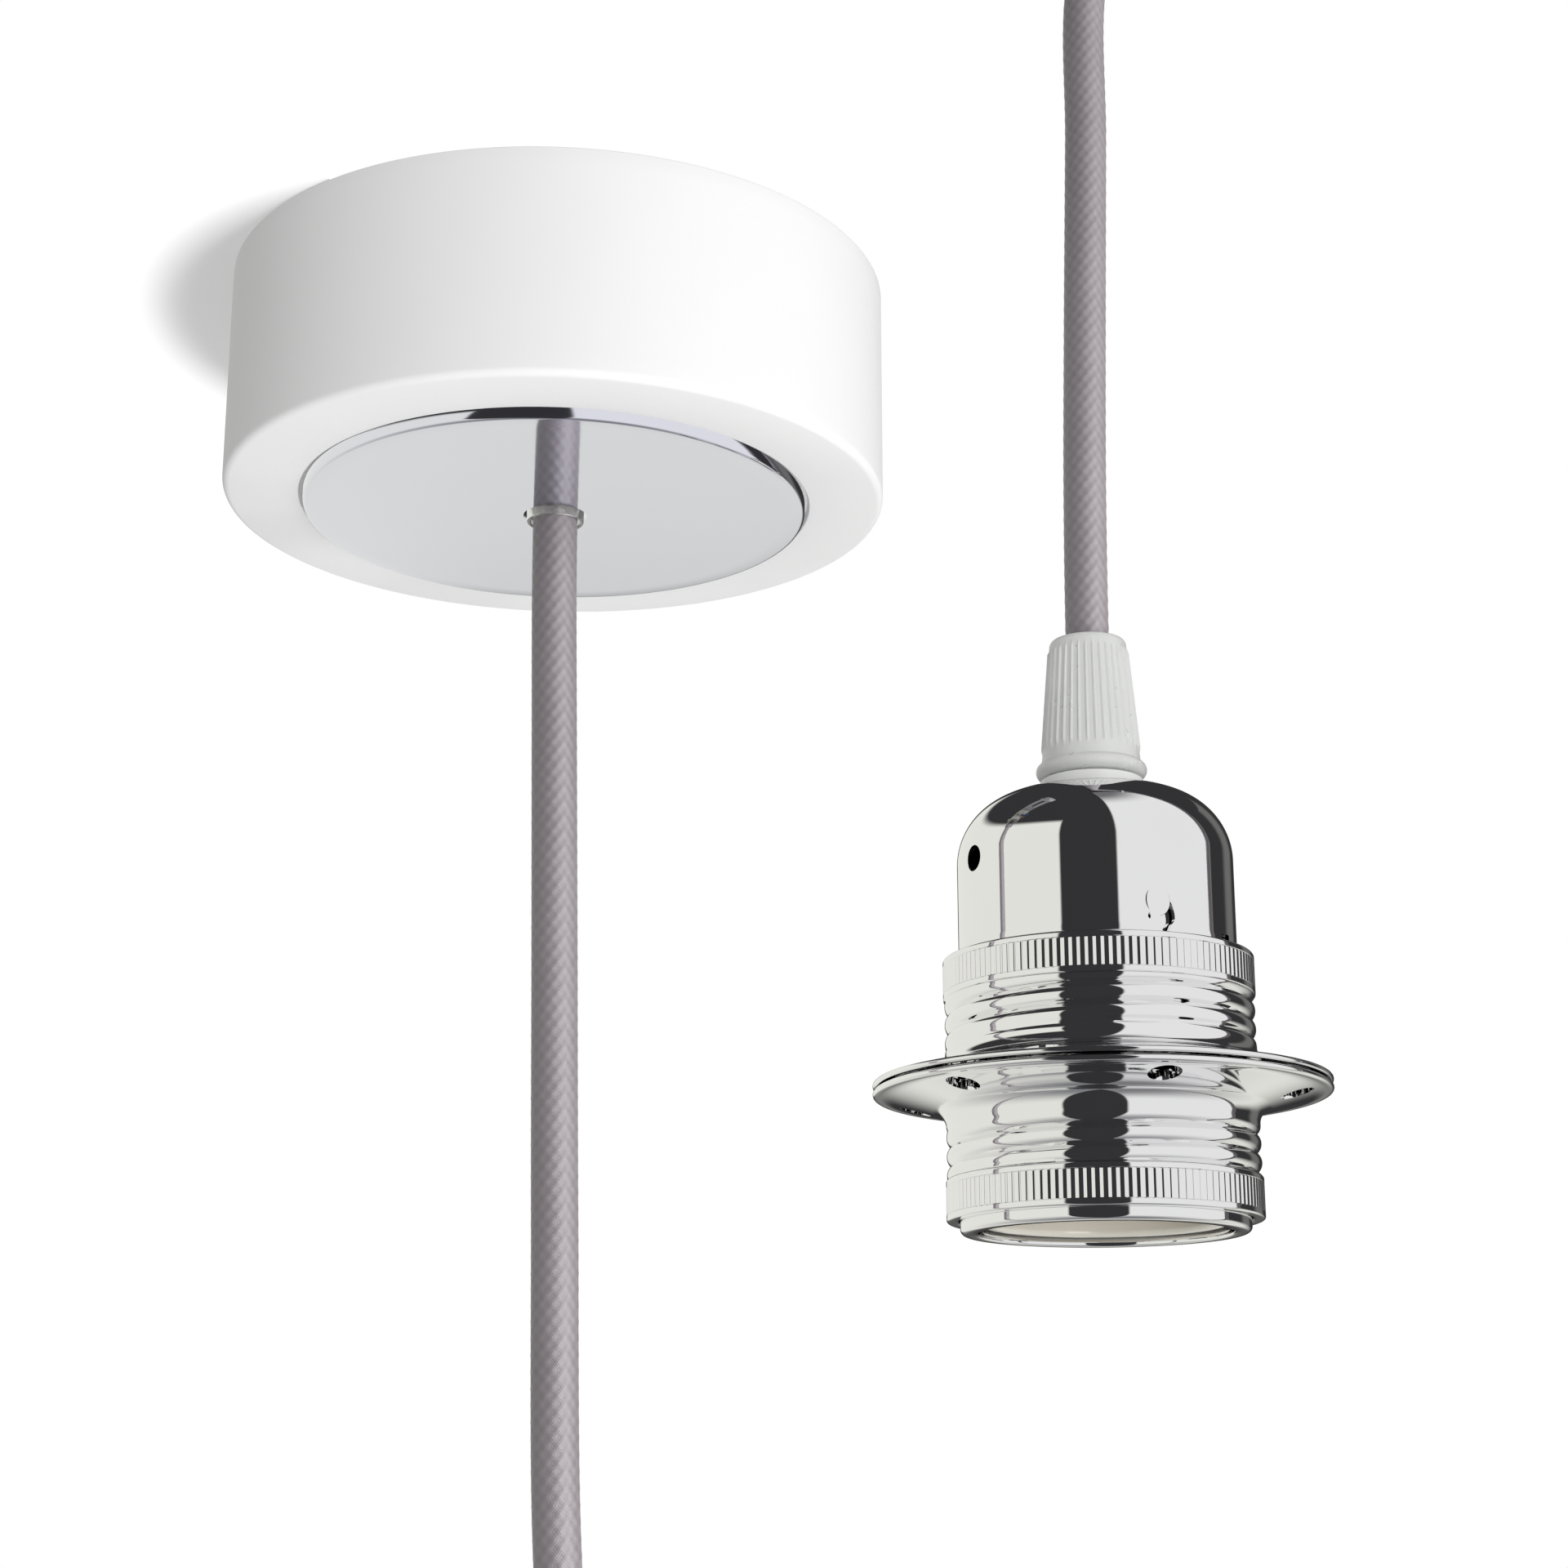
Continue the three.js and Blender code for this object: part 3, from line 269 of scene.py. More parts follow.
def grid_object(name, grid, closed_rows=False, capped=False):
    """Mesh of rows of points in a ring, with a face between each two rows."""
    rows, columns = grid.shape[:2]
    count = rows if closed_rows else rows - 1
    row = np.arange(count)[:, None]
    column = np.arange(columns)[None, :]
    right = (column + 1) % columns
    above = (row + 1) % rows
    corners = [row * columns + column, row * columns + right,
               above * columns + right, above * columns + column]
    faces = np.stack([np.broadcast_to(c, (count, columns)) for c in corners], -1).reshape(-1, 4)
    faces = faces.tolist()
    if capped:
        faces.append(list(range(columns - 1, -1, -1)))
        faces.append(list(range((rows - 1) * columns, rows * columns)))
    mesh = bpy.data.meshes.new(name)
    mesh.from_pydata(grid.reshape(-1, 3).tolist(), [], faces)
    mesh.validate()
    return link_mesh(name, mesh)


def arc(x, z, radius, start, end, steps):
    """Profile points on an arc, with its angles in degrees."""
    angles = np.radians(np.linspace(start, end, steps + 1))
    return [(x + radius * math.cos(a), z + radius * math.sin(a)) for a in angles]


def line(start, end, steps):
    """Profile points on a straight stretch, without its first point."""
    return [(start[0] + (end[0] - start[0]) * i / steps, start[1] + (end[1] - start[1]) * i / steps)
            for i in range(1, steps + 1)]


def revolve(name, profile, axis, segments, relief=None):
    """Closed profile of (radius, height) points, counter-clockwise, turned round a vertical axis."""
    points = np.array(profile, float)
    angles = np.linspace(0, 2 * math.pi, segments, endpoint=False)
    radius = np.repeat(points[:, :1], segments, 1)
    height = np.repeat(points[:, 1:], segments, 1)
    if relief is not None:
        radius = radius + relief(radius, height, angles[None, :])
    grid = np.stack([axis.x + radius * np.cos(angles), axis.y + radius * np.sin(angles), height], -1)
    return grid_object(name, grid, closed_rows=True)


def sweep_frames(path):
    """Tangents and two steady normals along a path of points."""
    tangents = np.gradient(path, axis=0)
    tangents /= np.linalg.norm(tangents, axis=1)[:, None]
    side = np.cross(tangents[0], (0.0, 1.0, 0.0))
    normals = []
    for tangent in tangents:
        side = side - tangent * side.dot(tangent)
        side /= np.linalg.norm(side)
        normals.append(side)
    normals = np.array(normals)
    return tangents, normals, np.cross(tangents, normals)


def path_length(path):
    return float(np.linalg.norm(np.diff(path, axis=0), axis=1).sum())


def tube(name, path, radius, sides, relief=None):
    """Round bar along a path, with its radius changed by relief(distance, angle)."""
    tangents, normals, across = sweep_frames(path)
    steps = np.linalg.norm(np.diff(path, axis=0), axis=1)
    distance = np.concatenate([[0.0], np.cumsum(steps)])
    angles = np.linspace(0, 2 * math.pi, sides, endpoint=False)
    reach = np.full((len(path), sides), radius)
    if relief is not None:
        reach = reach + relief(distance[:, None], angles[None, :])
    grid = (path[:, None, :]
            + reach[..., None] * (np.cos(angles)[None, :, None] * normals[:, None, :]
                                  + np.sin(angles)[None, :, None] * across[:, None, :]))
    obj = grid_object(name, grid, capped=True)
    wrap_uv(obj, sides, distance / (2 * math.pi * radius))
    return obj


def wrap_uv(obj, sides, heights):
    """UV map with one unit round the bar and the same scale along it."""
    layer = obj.data.uv_layers.new(name="wrap")
    vertex = np.empty(len(obj.data.loops), int)
    obj.data.loops.foreach_get("vertex_index", vertex)
    row, column = vertex // sides, vertex % sides
    u = column / sides
    first = np.arange(len(vertex)) // 4 * 4
    first = np.minimum(first, len(vertex) - 4)
    last_column = column[first] == sides - 1
    u = np.where(last_column & (column == 0), 1.0, u)
    uv = np.stack([u, heights[row]], -1)
    layer.data.foreach_set("uv", uv.ravel())


def smooth_curve(points, step):
    """Centripetal Catmull-Rom curve through points, resampled at an even step."""
    p = np.array(points, float)
    p = np.vstack([2 * p[0] - p[1], p, 2 * p[-1] - p[-2]])
    samples = []
    for i in range(1, len(p) - 2):
        four = p[i - 1:i + 3]
        knots = np.concatenate([[0], np.cumsum(np.linalg.norm(np.diff(four, axis=0), axis=1) ** 0.5)])
        t = np.linspace(knots[1], knots[2], 40, endpoint=False)[:, None]
        level = [four[k] + (four[k + 1] - four[k]) * (t - knots[k]) / (knots[k + 1] - knots[k])
                 for k in range(3)]
        level = [level[k] + (level[k + 1] - level[k]) * (t - knots[k]) / (knots[k + 2] - knots[k])
                 for k in range(2)]
        samples.append(level[0] + (level[1] - level[0]) * (t - knots[1]) / (knots[2] - knots[1]))
    dense = np.vstack([*samples, p[-2][None, :]])
    distance = np.concatenate([[0], np.cumsum(np.linalg.norm(np.diff(dense, axis=0), axis=1))])
    count = max(2, round(distance[-1] / step) + 1)
    even = np.linspace(0, distance[-1], count)
    return np.stack([np.interp(even, distance, dense[:, k]) for k in range(3)], -1)


def prism(name, outline, depth):
    """Solid of an outline in X and Y, from z = 0 up."""
    build = bmesh.new()
    face = build.faces.new([build.verts.new((x, y, 0)) for x, y in outline])
    face.normal_update()
    if face.normal.z > 0:
        face.normal_flip()
    top = bmesh.ops.extrude_face_region(build, geom=[face])
    raised = [v for v in top["geom"] if isinstance(v, bmesh.types.BMVert)]
    bmesh.ops.translate(build, verts=raised, vec=(0, 0, depth))
    bmesh.ops.recalc_face_normals(build, faces=build.faces)
    return built(name, build)


def circle(radius, steps):
    turns = [2 * math.pi * i / steps for i in range(steps)]
    return [(radius * math.cos(a), radius * math.sin(a)) for a in turns]


def rectangle(width, height):
    x, y = width / 2, height / 2
    return [(-x, -y), (x, -y), (x, y), (-x, y)]


def drill(radius, depth, steps=48):
    return prism("drill", circle(radius, steps), depth)


def outward(angle):
    """Direction away from an axis: zero looks to the front, and a positive turn goes to +X."""
    return Vector((math.sin(angle), -math.cos(angle), 0))


def place(obj, matrix):
    obj.data.transform(matrix)
    return obj


def on_holder(obj, height=0.0, spin=None):
    """Moves a piece that was made round the origin onto the holder's axis, after an optional turn."""
    here = Matrix.Translation((HOLDER_AXIS.x, HOLDER_AXIS.y, height))
    return place(obj, here @ (spin or Matrix.Identity(4)))


def lay_outward(obj, angle, axis, height, reach=0.0):
    """Lays a solid that was made along +Z along the outward direction."""
    aim = Vector((0, 0, 1)).rotation_difference(outward(angle)).to_matrix().to_4x4()
    start = Vector((axis.x, axis.y, height)) + outward(angle) * reach
    return place(obj, Matrix.Translation(start) @ aim)


def flatten(obj):
    """The evaluated object as a plain mesh, with its modifiers taken off."""
    graph = bpy.context.evaluated_depsgraph_get()
    mesh = bpy.data.meshes.new_from_object(obj.evaluated_get(graph))
    obj.modifiers.clear()
    obj.data = mesh
    return obj


def cut(obj, *tools):
    """Cuts solids out of an object and deletes them."""
    for tool in tools:
        modifier = obj.modifiers.new("cut", "BOOLEAN")
        modifier.operation = "DIFFERENCE"
        modifier.solver = "EXACT"
        modifier.object = tool
        flatten(obj)
        bpy.data.objects.remove(tool)
    return obj


def built(name, build):
    """Object of a finished bmesh."""
    mesh = bpy.data.meshes.new(name)
    build.to_mesh(mesh)
    build.free()
    return link_mesh(name, mesh)


def joined(name, parts):
    """One mesh of several objects, which are deleted."""
    build = bmesh.new()
    for part in parts:
        build.from_mesh(part.data)
        bpy.data.objects.remove(part)
    return built(name, build)


def soften(obj, degrees=32):
    """Smooth shading, with the sharp edges kept."""
    obj.data.polygons.foreach_set("use_smooth", [True] * len(obj.data.polygons))
    obj.data.set_sharp_from_angle(angle=math.radians(degrees))
    return obj


def hand_over(obj, material, slot, *nodes):
    """Gives a finished piece its material, its body and the CAD nodes that it stands for."""
    obj.data.materials.clear()
    obj.data.materials.append(material)
    obj.data.polygons.foreach_set("material_index", [0] * len(obj.data.polygons))
    soften(obj)
    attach(obj, BODY)
    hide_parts(*nodes)
    return obj


# Geometry Nodes

class NodeWork:
    """Short calls that add nodes to a tree and feed their inputs."""

    def __init__(self, tree):
        self.nodes, self.links = tree.nodes, tree.links

    def feed(self, socket, value):
        if isinstance(value, bpy.types.NodeSocket):
            self.links.new(value, socket)
        elif socket.type == "RGBA" and len(value) == 3:
            socket.default_value = (*value, 1.0)
        else:
            socket.default_value = value

    def node(self, kind, values=(), **settings):
        made = self.nodes.new(kind)
        for key, value in settings.items():
            setattr(made, key, value)
        for key, value in dict(values).items():
            self.feed(made.inputs[key], value)
        return made

    def math(self, operation, first, second=0.0, clamp=False):
        made = self.node("ShaderNodeMath", {0: first, 1: second}, operation=operation)
        made.use_clamp = clamp
        return made.outputs[0]

    def mix(self, factor, first, second):
        """Colour between two others."""
        return self.node("ShaderNodeMix", {"Factor": factor, 6: first, 7: second},
                         data_type="RGBA").outputs[2]


class Tree(NodeWork):
    """Geometry Nodes tree with named inputs, whose result gets one material."""

    def __init__(self, name, **inputs):
        self.group = bpy.data.node_groups.new(name, "GeometryNodeTree")
        super().__init__(self.group)
        self.socket("Geometry", "Geometry")
        for title, default in inputs.items():
            kind = "Int" if isinstance(default, int) else "Float"
            self.socket(title, kind).default_value = default
        self.socket("Material", "Material")
        self.socket("Geometry", "Geometry", "OUTPUT")
        self.entry = self.nodes.new("NodeGroupInput")

    def socket(self, title, kind, way="INPUT"):
        return self.group.interface.new_socket(name=title, in_out=way, socket_type="NodeSocket" + kind)

    def given(self, title):
        """Output of a named input."""
        return self.entry.outputs[title]

    def vector(self, x=0.0, y=0.0, z=0.0):
        return self.node("ShaderNodeCombineXYZ", {"X": x, "Y": y, "Z": z}).outputs[0]

    def ring_of(self, copy, count, radius):
        """Copies of a mesh that stand round a circle, each with its X axis pointing outward."""
        ring = self.node("GeometryNodeMeshCircle", {"Vertices": count, "Radius": radius})
        spot = self.node("GeometryNodeInputPosition")
        aim = self.node("FunctionNodeAlignRotationToVector", {"Vector": spot.outputs[0]}, axis="X")
        copies = self.node("GeometryNodeInstanceOnPoints", {
            "Points": ring.outputs[0], "Instance": copy, "Rotation": aim.outputs[0]})
        return self.node("GeometryNodeRealizeInstances", {"Geometry": copies.outputs[0]}).outputs[0]

    def moved(self, mesh, **change):
        return self.node("GeometryNodeTransform", {"Geometry": mesh, **change}).outputs[0]

    def turned(self, angle):
        return self.node("FunctionNodeEulerToRotation", {"Euler": self.vector(z=angle)}).outputs[0]

    def bored(self, mesh, tool):
        made = self.node("GeometryNodeMeshBoolean", {0: mesh, 1: tool}, operation="DIFFERENCE",
                         solver="EXACT")
        return made.outputs[0]

    def join(self, *parts):
        made = self.nodes.new("GeometryNodeJoinGeometry")
        for part in reversed(parts):
            self.links.new(part, made.inputs[0])
        return made.outputs[0]

    def finish(self, geometry):
        real = self.node("GeometryNodeRealizeInstances", {"Geometry": geometry})
        coat = self.node("GeometryNodeSetMaterial", {
            "Geometry": real.outputs[0], "Material": self.given("Material")})
        self.node("NodeGroupOutput", {0: coat.outputs[0]})
        return self.group

    @staticmethod
    def run(group, obj, values):
        """Sets the inputs by identifier and makes the result a plain mesh."""
        modifier = obj.modifiers.new(group.name, "NODES")
        modifier.node_group = group
        for item in group.interface.items_tree:
            if item.item_type == "SOCKET" and item.in_out == "INPUT" and item.name in values:
                modifier[item.identifier] = values[item.name]
        return flatten(obj)


def knurl_tree():
    """Ridges round a band, added to the ring that carries them."""
    tree = Tree("knurl", Teeth=120, Radius=0.02, Width=0.0006, Depth=0.0003, Low=0.0, High=0.004)
    teeth, radius, width, depth, low, high = map(tree.given, (
        "Teeth", "Radius", "Width", "Depth", "Low", "High"))
    bar = tree.node("GeometryNodeMeshCylinder", {
        "Vertices": 20, "Side Segments": 1, "Radius": 0.5, "Depth": 1.0})
    size = tree.vector(tree.math("MULTIPLY", depth, 2.0), width, tree.math("SUBTRACT", high, low))
    ridge = tree.moved(bar.outputs["Mesh"], Scale=size)
    ridges = tree.ring_of(ridge, teeth, tree.math("SUBTRACT", radius, depth))
    middle = tree.math("MULTIPLY", tree.math("ADD", high, low), 0.5)
    raised = tree.moved(ridges, Translation=tree.vector(z=middle))
    return tree.finish(tree.join(tree.given("Geometry"), raised))


def perforation_tree():
    """Round holes on a circle, cut through the flange."""
    tree = Tree("perforations", Holes=6, Radius=0.002, Circle=0.025, Turn=0.0, Depth=0.01)
    pin = tree.node("GeometryNodeMeshCylinder", {
        "Vertices": 40, "Radius": tree.given("Radius"), "Depth": tree.given("Depth")})
    pins = tree.ring_of(pin.outputs["Mesh"], tree.given("Holes"), tree.given("Circle"))
    pins = tree.moved(pins, Rotation=tree.turned(tree.given("Turn")))
    return tree.finish(tree.bored(tree.given("Geometry"), pins))


# Exponent that narrows a rib's crest, and the length over which its end fades out
RIB_SHARPNESS = 1.5
RIB_END = 0.4 * MM


def rib_tree():
    """Slim ribs raised on the tapered wall of the moulding that carries them."""
    tree = Tree("ribs", Ribs=36, Radius=0.006, Slope=0.1, Height=0.0002, Low=0.0, High=0.01)
    ribs, radius, slope, height, low, high = map(tree.given, (
        "Ribs", "Radius", "Slope", "Height", "Low", "High"))
    spot = tree.node("GeometryNodeInputPosition").outputs[0]
    x, y, z = tree.node("ShaderNodeSeparateXYZ", {"Vector": spot}).outputs
    across = tree.vector(x, y)
    wave = tree.math("COSINE", tree.math("MULTIPLY", tree.math("ARCTAN2", y, x), ribs))
    crest = tree.math("POWER", tree.math("MAXIMUM", wave, 0.0), RIB_SHARPNESS)
    above = tree.math("SUBTRACT", z, low)
    reach = tree.node("ShaderNodeVectorMath", {0: across}, operation="LENGTH").outputs["Value"]
    wall = tree.math("SUBTRACT", radius, tree.math("MULTIPLY", slope, above))
    outside = tree.math("GREATER_THAN", reach, tree.math("SUBTRACT", wall, 0.1 * MM))
    rise = tree.math("MULTIPLY", above, 1 / RIB_END)
    fall = tree.math("MULTIPLY", tree.math("SUBTRACT", high, z), 1 / RIB_END)
    fade = tree.math("MAXIMUM", tree.math("MINIMUM", tree.math("MINIMUM", rise, fall), 1.0), 0.0)
    lift = tree.math("MULTIPLY", tree.math("MULTIPLY", crest, fade),
                     tree.math("MULTIPLY", outside, height))
    away = tree.node("ShaderNodeVectorMath", {0: across}, operation="NORMALIZE").outputs[0]
    push = tree.node("ShaderNodeVectorMath", {0: away, "Scale": lift}, operation="SCALE")
    raised = tree.node("GeometryNodeSetPosition", {
        "Geometry": tree.given("Geometry"), "Offset": push.outputs[0]})
    return tree.finish(raised.outputs[0])


# Turn of the screws' slots from the X axis in radians, and their width
SLOT_TURN = 0.6
SLOT_WIDTH = 0.7 * MM


def slotted_screw_tree():
    """Slotted cheese heads, one on each point of the given mesh, with their slots facing down."""
    tree = Tree("slotted_screws", Radius=0.0016, Height=0.0024, Slot=0.0006)
    radius, height, slot = map(tree.given, ("Radius", "Height", "Slot"))
    head = tree.node("GeometryNodeMeshCylinder", {"Vertices": 32, "Radius": radius, "Depth": height})
    bar = tree.node("GeometryNodeMeshCube", {
        "Size": tree.vector(tree.math("MULTIPLY", radius, 3.0), slot, slot)})
    bar = tree.moved(bar.outputs["Mesh"], Translation=tree.vector(z=tree.math("MULTIPLY", height, -0.5)))
    copies = tree.node("GeometryNodeInstanceOnPoints", {
        "Points": tree.given("Geometry"), "Instance": tree.bored(head.outputs["Mesh"], bar),
        "Rotation": tree.turned(SLOT_TURN)})
    return tree.finish(copies.outputs[0])


# Finishes

class Finish(NodeWork):
    """Material whose nodes are built with short calls."""

    def __init__(self, name, **surface):
        self.material = bpy.data.materials.new(name)
        self.material.use_nodes = True
        super().__init__(self.material.node_tree)
        for key, value in surface.items():
            self.set(key.replace("_", " "), value)

    def set(self, title, value):
        self.feed(self.nodes["Principled BSDF"].inputs[title], value)

    def where(self, *scale):
        """Object coordinates, scaled along each axis."""
        spot = self.node("ShaderNodeTexCoord").outputs["Object"]
        return self.node("ShaderNodeMapping", {"Vector": spot, "Scale": scale}).outputs[0]

    def noise(self, vector, scale, detail=2.0):
        made = self.node("ShaderNodeTexNoise", {"Vector": vector, "Scale": scale, "Detail": detail})
        return made.outputs["Fac"]

    def span(self, value, low, high):
        """A value from 0 to 1 spread between two others."""
        return self.node("ShaderNodeMapRange", {
            "Value": value, "To Min": low, "To Max": high}).outputs[0]

    def bump(self, height, strength, distance):
        made = self.node("ShaderNodeBump", {
            "Height": height, "Strength": strength, "Distance": distance})
        self.set("Normal", made.outputs[0])
        return self.material


def shade_of(rgb, factor):
    return tuple(min(1.0, c * factor) for c in rgb)


def uneven(name, rgb, tint, polish, grain, **surface):
    """Finish whose colour, roughness and surface vary a little, each with a noise of its own.

    tint is (scale, detail, darkest, lightest), polish (scale, detail, lowest, highest roughness)
    and grain (scale, detail, strength, depth).
    """
    made = Finish(name, **surface)
    spot = made.where(1, 1, 1)
    scale, detail, *tones = tint
    made.set("Base Color", made.mix(made.noise(spot, scale, detail), *[shade_of(rgb, t) for t in tones]))
    scale, detail, *spread = polish
    made.set("Roughness", made.span(made.noise(spot, scale, detail), *spread))
    scale, detail, *relief = grain
    return made.bump(made.noise(spot, scale, detail), *relief)


def powder_coat(rgb):
    return uneven("powder_coat", rgb, (90, 2, 0.985, 1.01), (400, 2, 0.55, 0.68),
                  (2600, 3, 0.12, 0.00012))


def polished_plate(name, rgb, roughness):
    return uneven(name, rgb, (60, 2, 0.985, 1), (300, 3, roughness * 0.7, roughness * 1.3),
                  (700, 3, 0.03, 0.00002), Metallic=1.0)


def plain_metal(name, rgb, roughness):
    return uneven(name, rgb, (220, 3, 0.86, 1), (700, 2, roughness * 0.8, roughness * 1.25),
                  (1800, 2, 0.15, 0.00004), Metallic=1.0)


def moulded(name, rgb, roughness):
    return uneven(name, rgb, (150, 2, 0.93, 1), (600, 2, roughness * 0.85, roughness * 1.15),
                  (1600, 3, 0.12, 0.00005))


def glazed(rgb):
    return uneven("glazed_ceramic", rgb, (120, 3, 0.95, 1), (400, 2, 0.28, 0.4), (300, 2, 0.06, 0.0001),
                  Coat_Weight=0.6, Coat_Roughness=0.06)


def clear_plastic(rgb):
    return uneven("bush_plastic", rgb, (900, 2, 1, 1), (900, 2, 0.08, 0.16), (1500, 2, 0.1, 0.00005),
                  Transmission_Weight=0.9, IOR=1.45)


def frosted_plastic(name, rgb, clear):
    """Plastic with drawn streaks, as much of it see-through as clear says."""
    made = Finish(name, Transmission_Weight=clear, IOR=1.3)
    streaks = made.noise(made.where(1, 1, 0.08), 900, 2)
    made.set("Base Color", made.mix(streaks, shade_of(rgb, 0.96), rgb))
    made.set("Roughness", made.span(made.noise(made.where(1, 1, 1), 500), 0.24, 0.34))
    return made.bump(streaks, 0.1, 0.00005)


# Threads that lie side by side in one strand of the braid
THREADS = 5.0


def braided_textile(settings):
    """Braid with painted shade in the hollows between its strands, lighter raised crossings and random
    yarn patches, and with the crossings and threads raised by the cord's own UV map.
    """
    made = Finish("braided_textile")
    around, along = made.node("ShaderNodeSeparateXYZ", {
        "Vector": made.node("ShaderNodeUVMap", uv_map="wrap").outputs[0]}).outputs[:2]
    girth = math.pi * settings.diameter
    strand = made.math("MULTIPLY", around, 2 * math.pi * settings.carriers)
    rise = made.math("MULTIPLY", along, math.pi * girth / settings.pick)
    weave = made.math("MULTIPLY", made.math("COSINE", strand), made.math("COSINE", rise))
    half = made.math("MULTIPLY", made.math("ADD", weave, 1.0), 0.5)
    left = made.math("ADD", strand, rise)
    right = made.math("SUBTRACT", strand, rise)
    on_top = made.math("GREATER_THAN", made.math("MULTIPLY", made.math("SINE", strand),
                                                 made.math("SINE", rise)), 0.0)
    lean = made.node("ShaderNodeMix", {"Factor": on_top, "A": left, "B": right}, data_type="FLOAT")
    threads = made.math("SINE", made.math("MULTIPLY", lean.outputs[0], THREADS))
    spot = made.where(1, 1, 1)
    patches = made.noise(spot, 160, 3)
    # Colour runs from painted shade in the hollows (half low) to the lighter crossings (half high), mixed
    # with random yarn patches
    tone = made.math("ADD", made.math("MULTIPLY", half, 0.55), made.math("MULTIPLY", patches, 0.45))
    made.set("Base Color", made.mix(tone, settings.shade, settings.light))
    made.set("Roughness", made.span(patches, 0.42, 0.52))
    made.set("Specular IOR Level", 0.9)
    made.set("Sheen Weight", 0.25)
    made.set("Sheen Roughness", 0.4)
    height = made.math("ADD", half, made.math("MULTIPLY", threads, 0.16))
    return made.bump(height, 0.7, 0.00008)


# Pieces

# Radii of the bush, of the bore round the cord and of the grub screws' holes
BUSH_HOLE_R = 3.8 * MM
CORD_BORE_R = 3.3 * MM
GRUB_BORE_R = 1.8 * MM


def rose_cup(settings):
    """Cup with a recess for the disc, open to the ceiling, and two holes for grub screws."""
    inner = ROSE_R - settings.wall
    recess_z = DISC_BACK + FIT
    floor_z = recess_z + settings.floor
    recess = DISC_R + settings.rim_gap
    hole = BUSH_HOLE_R + FIT
    edge, small, rim = settings.edge, BROKEN_EDGE, 0.15 * MM
    profile = [
        (hole, recess_z), (recess - small, recess_z), (recess, recess_z - small),
        *arc(recess + rim, ROSE_FACE + rim, rim, 180, 270, 3),
        *arc(ROSE_R - edge, ROSE_FACE + edge, edge, -90, 0, 10),
        *line((ROSE_R, ROSE_FACE + edge), (ROSE_R, ROSE_TOP - small), 14),
        *arc(ROSE_R - small, ROSE_TOP - small, small, 20, 90, 3),
        *arc(inner + small, ROSE_TOP - small, small, 90, 180, 3),
        *line((inner, ROSE_TOP - small), (inner, floor_z + edge), 10),
        *arc(inner - edge, floor_z + edge, edge, -10, -90, 5),
        (hole, floor_z),
    ]
    cup = revolve("rose_cup", profile, ROSE_AXIS, LARGE_ROUND)
    low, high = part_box("grub_screw_left")
    for side in (-1, 1):
        bore = lay_outward(drill(GRUB_BORE_R, 10 * MM), side * math.pi / 2, ROSE_AXIS,
                           (low.z + high.z) / 2, ROSE_R - 6 * MM)
        cut(cup, bore)
    return cup


def rose_disc(settings):
    """Polished disc with a rounded rim and a hole for the bush."""
    edge, foot, back = settings.disc_edge, 0.15 * MM, 0.1 * MM
    hole = BUSH_HOLE_R + FIT
    return revolve("rose_disc", [
        (hole, DISC_FACE + foot), (hole + foot, DISC_FACE),
        *line((hole + foot, DISC_FACE), (DISC_R - edge, DISC_FACE), 12),
        *arc(DISC_R - edge, DISC_FACE + edge, edge, -80, 0, 8),
        *arc(DISC_R - back, DISC_BACK - back, back, 0, 90, 2),
        *line((DISC_R - back, DISC_BACK), (hole, DISC_BACK), 12),
    ], ROSE_AXIS, LARGE_ROUND)


def bush_sleeve(settings):
    """Clear sleeve round the cord, with a flange behind the disc."""
    bore = CORD_BORE_R
    outer = bore + settings.bush_wall
    flange = BUSH_TOP - 1.6 * MM
    lip = 0.22 * MM
    return revolve("bush_sleeve", [
        (bore, BUSH_LIP + lip),
        *arc(bore + lip, BUSH_LIP + lip, lip, 190, 270, 4),
        *arc(outer - lip, BUSH_LIP + lip, lip, 270, 350, 4),
        (outer, DISC_FACE), (outer, flange), (BUSH_FLANGE_R, flange),
        (BUSH_FLANGE_R, BUSH_TOP), (bore, BUSH_TOP),
    ], ROSE_AXIS, 96)


# Route of the cord's centre line in metres
CORD_ROUTE = [
    (0, 0, -0.031), (0.0001, 0, -0.042), (0.0005, 0, -0.060), (0.0012, 0, -0.090),
    (0.002, 0, -0.125), (0.0032, 0, -0.165), (0.0052, 0.0004, -0.186), (0.0108, 0.001, -0.209),
    (0.0208, 0.0018, -0.230), (0.035, 0.0029, -0.247), (0.053, 0.0042, -0.2575),
    (0.071, 0.0054, -0.261), (0.089, 0.0065, -0.258), (0.107, 0.0076, -0.248),
    (0.1213, 0.0086, -0.231), (0.131, 0.0095, -0.209), (0.1363, 0.0102, -0.187),
    (0.1392, 0.0108, -0.165), (0.1416, 0.0113, -0.135), (0.1442, 0.0118, -0.095),
    (0.1468, 0.0122, -0.055), (0.1494, 0.0126, -0.015), (0.1513, 0.0129, 0.025),
    (0.1519, 0.013, 0.057), (0.1468, 0.013, 0.0762), (0.1328, 0.013, 0.0902),
    (0.1136, 0.013, 0.0953), (0.0945, 0.013, 0.0902), (0.0804, 0.013, 0.0762),
    (0.0753, 0.013, 0.057), (0.0745, 0.013, 0.032), (0.0735, 0.013, 0.002),
    (0.0728, 0.013, -0.022), (0.0725, 0.013, -0.042),
]
CORD_START = (0, 0, -0.0157)
CORD_IN_ROSE = (0, 0, -0.02285)
CORD_IN_GRIP = (0.0725, 0.013, -0.0589)
CORD_END = (0.0725, 0.013, -0.07305)


